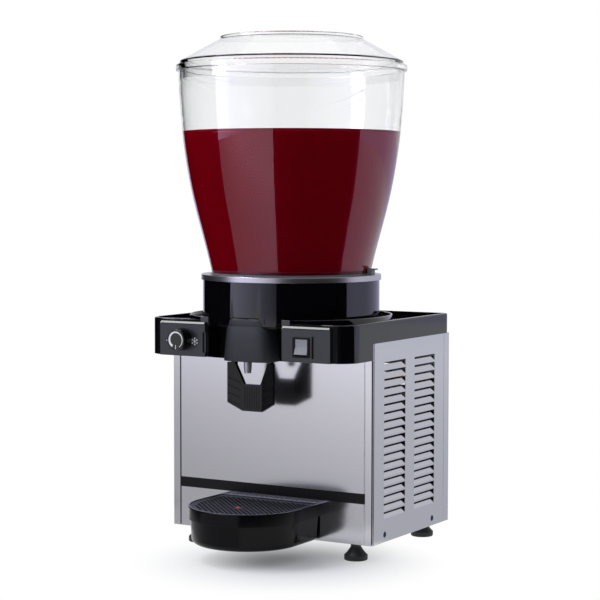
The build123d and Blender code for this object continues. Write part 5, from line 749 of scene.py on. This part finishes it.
def crescent(centre, start, end, wide, narrow, radius):
    """An arc band whose width falls from wide to narrow between two angles in degrees."""
    t = np.radians(np.linspace(start, end, 40))
    width = np.linspace(wide, narrow, 40)
    within = radius - width
    outer = np.stack([centre[0] + radius * np.cos(t), centre[1] + radius * np.sin(t)], axis=1)
    inner = np.stack([centre[0] + within * np.cos(t), centre[1] + within * np.sin(t)], axis=1)
    return np.concatenate([outer, inner[::-1]])


def bar(start, end, width):
    """The four corners of a straight stroke."""
    a = np.asarray(start, float)
    b = np.asarray(end, float)
    along = (b - a) / np.linalg.norm(b - a)
    side = np.array([-along[1], along[0]]) * width / 2
    return np.array([a - side, b - side, b + side, a + side])


def mark(name, outline, y_face, thickness, body):
    """A printed mark on a face that rides on a body."""
    points, faces = raised(outline, y_face, thickness)
    piece(name, points, faces, WHITE_INK, body, smooth=False)


INK = 0.00012
POINTER = ((KNOB_CENTRE[0], 0.3003), (KNOB_CENTRE[0], 0.3060))
TICK = ((-0.1317, 0.3107), (-0.1278, 0.3107))
STROKE = 0.0011
mark("dial_arc", crescent(KNOB_CENTRE, 240, -60, 0.0036, 0.0007, 0.0122), KNOB_FACE_Y, INK, "knob")
mark("dial_pointer", bar(*POINTER, STROKE), KNOB_FACE_Y, INK, "knob")
mark("plate_tick", bar(*TICK, STROKE), PLATE_Y, INK, "cabinet")

# A six-armed snowflake, each stroke a hair higher than the one before
FLAKE = np.array((-0.0820, 0.3110))
FLAKE_ARM = 0.0058
FLAKE_FORK = 0.0036
FLAKE_TWIG = 0.0014
for arm in range(6):
    turn = radians(90 + 60 * arm)
    out = np.array([cos(turn), sin(turn)])
    side = np.array([-out[1], out[0]])
    strokes = [bar(FLAKE + out * 0.0003 * (arm + 1) / 6, FLAKE + out * FLAKE_ARM, 0.0006)]
    for way in (-1, 1):
        root = FLAKE + out * FLAKE_FORK
        strokes.append(bar(root, root + (out + way * side) * FLAKE_TWIG, 0.0005))
    for number, stroke in enumerate(strokes):
        mark(f"flake_{arm}_{number}", stroke, PLATE_Y, INK + 0.00001 * (number + arm * 3), "cabinet")


# The studio

def studio_world():
    """Even soft light, seen as white behind the machine, in its metal and through clear plastic."""
    world = bpy.data.worlds.new("studio")
    bpy.context.scene.world = world
    world.use_nodes = True
    tree = world.node_tree
    tree.nodes.clear()
    path = add_node(tree, "ShaderNodeLightPath")
    sources = {0: path.outputs["Is Camera Ray"], 1: path.outputs["Is Glossy Ray"]}
    first = add_node(tree, "ShaderNodeMath", {"operation": "MAXIMUM"}, sources)
    sources = {0: first.outputs[0], 1: path.outputs["Is Transmission Ray"]}
    second = add_node(tree, "ShaderNodeMath", {"operation": "MAXIMUM"}, sources)
    levels = {"To Min": 0.75, "To Max": 1.0}
    level = add_node(tree, "ShaderNodeMapRange", levels, {"Value": second.outputs[0]})
    background = add_node(
        tree, "ShaderNodeBackground", {"Color": (1, 1, 1, 1)}, {"Strength": level.outputs["Result"]}
    )
    output = add_node(tree, "ShaderNodeOutputWorld")
    tree.links.new(background.outputs["Background"], output.inputs["Surface"])


FLOOR_HALF_SIZE = 12.0
# Middle of the painted shade on the floor
SHADE_CENTRE = (0.06, -0.10, 0)
# How the floor's painted shade turns into the backdrop: from and to these distances, from and to these shares
SHADE_FADE = {"From Min": 0.015, "From Max": 0.235, "To Min": 0.13, "To Max": 1.0}


def studio_floor():
    """A floor of darker blue grey near the machine, painted shade round SHADE_CENTRE on top of the rendered
    soft shadow, that turns into the white backdrop further out."""
    material, tree, output = blank("floor_painted_shade")
    # Blue grey base colour, darker than the backdrop: painted shade near the machine, on top of the rendered
    # shadow
    shader = add_node(
        tree, "ShaderNodeBsdfPrincipled", {"Base Color": (0.6, 0.612, 0.68, 1), "Specular IOR Level": 0.0}
    )
    white = add_node(tree, "ShaderNodeEmission", {"Color": (1, 1, 1, 1), "Strength": 1.0})
    place = add_node(tree, "ShaderNodeTexCoord")
    far = add_node(tree, "ShaderNodeVectorMath", {"operation": "DISTANCE"}, {0: place.outputs["Object"]})
    far.inputs[1].default_value = SHADE_CENTRE
    smooth = {**SHADE_FADE, "interpolation_type": "SMOOTHSTEP"}
    fade = add_node(tree, "ShaderNodeMapRange", smooth, {"Value": far.outputs["Value"]})
    sources = {"Fac": fade.outputs["Result"], 1: shader.outputs["BSDF"], 2: white.outputs["Emission"]}
    mix = add_node(tree, "ShaderNodeMixShader", {}, sources)
    tree.links.new(mix.outputs["Shader"], output.inputs["Surface"])
    mesh = bpy.data.meshes.new("floor")
    s = FLOOR_HALF_SIZE
    mesh.from_pydata([(-s, -s, 0), (s, -s, 0), (s, s, 0), (-s, s, 0)], [], [(0, 1, 2, 3)])
    mesh.materials.append(material)
    floor = bpy.data.objects.new("floor", mesh)
    bpy.context.scene.collection.objects.link(floor)


CARD_STEPS = 48


def curved_card(name, start, end, section, material, through=True):
    """A curved card round the machine: its section of (radius, height) swept between two
    angles, in degrees from straight in front towards the right. Seen only in mirrorings, and
    through clear walls where through is true."""
    t = np.radians(np.linspace(start, end, CARD_STEPS))
    rings = [np.column_stack([r * np.sin(t), -r * np.cos(t), np.full(CARD_STEPS, z)]) for r, z in section]
    mesh = bpy.data.meshes.new(name)
    faces = grid_faces(len(section), CARD_STEPS, False)
    mesh.from_pydata(np.concatenate(rings).tolist(), [], faces.tolist())
    mesh.materials.append(material)
    card = bpy.data.objects.new(name, mesh)
    bpy.context.scene.collection.objects.link(card)
    card.visible_camera = False
    card.visible_diffuse = False
    card.visible_shadow = False
    card.visible_transmission = through


def card_material(name, along, reach, strength, tint):
    """A glow whose strength goes evenly between two places along a level direction over a
    card. Light that has met a matt surface passes through it."""
    material, tree, output = blank(name)
    place = add_node(tree, "ShaderNodeTexCoord")
    way = add_node(tree, "ShaderNodeVectorMath", {"operation": "DOT_PRODUCT"}, {0: place.outputs["Object"]})
    way.inputs[1].default_value = along
    ramp = add_node(
        tree,
        "ShaderNodeMapRange",
        {"From Min": reach[0], "From Max": reach[1], "To Min": strength[0], "To Max": strength[1]},
        {"Value": way.outputs["Value"]},
    )
    glow = add_node(tree, "ShaderNodeEmission", {"Color": tint}, {"Strength": ramp.outputs["Result"]})
    open_air = add_node(tree, "ShaderNodeBsdfTransparent", {"Color": (1, 1, 1, 1)})
    path = add_node(tree, "ShaderNodeLightPath")
    sources = {"Fac": path.outputs["Diffuse Depth"], 1: glow.outputs["Emission"], 2: open_air.outputs["BSDF"]}
    mix = add_node(tree, "ShaderNodeMixShader", {}, sources)
    tree.links.new(mix.outputs["Shader"], output.inputs["Surface"])
    return material


def soft_lamp(name, place, target, width, height, power, mirrored):
    """A rectangular softbox aimed at a point, seen in gloss where mirrored is true."""
    lamp = bpy.data.lights.new(name, "AREA")
    lamp.shape = "RECTANGLE"
    lamp.size = width
    lamp.size_y = height
    lamp.energy = power
    box = bpy.data.objects.new(name, lamp)
    bpy.context.scene.collection.objects.link(box)
    aim = Vector(target) - Vector(place)
    box.matrix_world = Matrix.Translation(place) @ aim.to_track_quat("-Z", "Y").to_matrix().to_4x4()
    box.visible_glossy = mirrored


CAMERA_PLACE = (1.35962, -2.27215, 0.52771)
CAMERA_TURN = 30.5
CAMERA_DIP = 3.468
CAMERA_ROLL = 0.097
CAMERA_LENS = 107.71
CAMERA_SENSOR = 36.0


def product_camera():
    """The photograph's view: 30.5 degrees round to the right, 3.5 degrees down, a long lens."""
    turn = radians(CAMERA_TURN)
    dip = radians(CAMERA_DIP)
    roll = radians(CAMERA_ROLL)
    right = Vector((cos(turn), sin(turn), 0))
    ahead = Vector((-sin(turn) * cos(dip), cos(turn) * cos(dip), -sin(dip)))
    up = right.cross(ahead)
    across = right * cos(roll) + up * sin(roll)
    upward = across.cross(ahead)
    data = bpy.data.cameras.new("camera")
    data.sensor_width = CAMERA_SENSOR
    data.lens = CAMERA_LENS
    data.clip_end = 100.0
    camera = bpy.data.objects.new("camera", data)
    bpy.context.scene.collection.objects.link(camera)
    turning = Matrix((across, upward, -ahead)).transposed().to_4x4()
    camera.matrix_world = Matrix.Translation(CAMERA_PLACE) @ turning
    bpy.context.scene.camera = camera


studio_world()
studio_floor()

# Sections of the cards as (radius, height): along the floor, up a wall, or both
CARD_LIFT = 0.003
CARD_NEAR = 0.24
FLAG_NEAR = 0.45
CARD_FAR = 3.5
WALL_FOOT = 0.09
WALL_SPLIT = 0.5
WALL_TOP = 4.2
FLAG_SECTION = ((FLAG_NEAR, CARD_LIFT), (CARD_FAR, CARD_LIFT), (CARD_FAR, WALL_TOP))
LOW_SECTION = ((CARD_NEAR, CARD_LIFT), (CARD_FAR, CARD_LIFT), (CARD_FAR, WALL_FOOT))
NEAR_SECTION = ((CARD_NEAR, CARD_LIFT), (FLAG_NEAR, CARD_LIFT))
WALL_SECTION = ((CARD_FAR, WALL_FOOT), (CARD_FAR, WALL_TOP))
WALL_LOW_SECTION = ((CARD_FAR, WALL_FOOT), (CARD_FAR, WALL_SPLIT))
WALL_HIGH_SECTION = ((CARD_FAR, WALL_SPLIT), (CARD_FAR, WALL_TOP))

# Black felt, then the glows: each brightens or fades along a level direction.
FELT = card_material("black_felt", (1, 0, 0), (0, 1), (0, 0), (0, 0, 0, 1))
SCREEN_GLOW = card_material("screen_glow", (1, 0, 0), (-2.6, 0.6), (1.85, 0.38), (0.95, 0.95, 1.24, 1))
TABLE_GLOW = card_material("table_glow", (0.4816, -0.5622, 0), (0.1, 0.95), (0.55, 1.16), (1, 0.99, 1.03, 1))
FAR_GLOW = card_material("far_glow", (0, 1, 0), (1.75, 2.87), (0.86, 0.6), (1, 0.98, 1.36, 1))
HIGH_GLOW = card_material("high_glow", (1, 0, 0), (0, 1), (0.74, 0.74), (1, 1, 1.07, 1))
SIDE_GLOW = card_material("side_glow", (0.515, 0.857, 0), (0.5, 3.0), (0.6, 0.76), (0.98, 1, 1.08, 1))

curved_card("front_flag", 12, 106, FLAG_SECTION, FELT)
curved_card("left_flag", -125, -51, FLAG_SECTION, FELT)
curved_card("left_screen", -51, 12, WALL_SECTION, SCREEN_GLOW)
curved_card("left_table", -51, 12, LOW_SECTION, TABLE_GLOW)
curved_card("near_table", -90, -51, NEAR_SECTION, TABLE_GLOW)
curved_card("right_screen", 106, 235, WALL_LOW_SECTION, FAR_GLOW, False)
curved_card("right_sky", 106, 235, WALL_HIGH_SECTION, HIGH_GLOW, False)
curved_card("right_table", 106, 235, LOW_SECTION, SIDE_GLOW, False)

soft_lamp("left_softbox", (-2.2, -1.9, 1.6), (0, 0, 0.35), 1.0, 1.6, 30, False)
soft_lamp("top_softbox", (-1.15, -0.45, 2.35), (0, 0, 0.3), 1.0, 1.0, 24, True)
product_camera()
bpy.context.scene.view_settings.view_transform = "Standard"
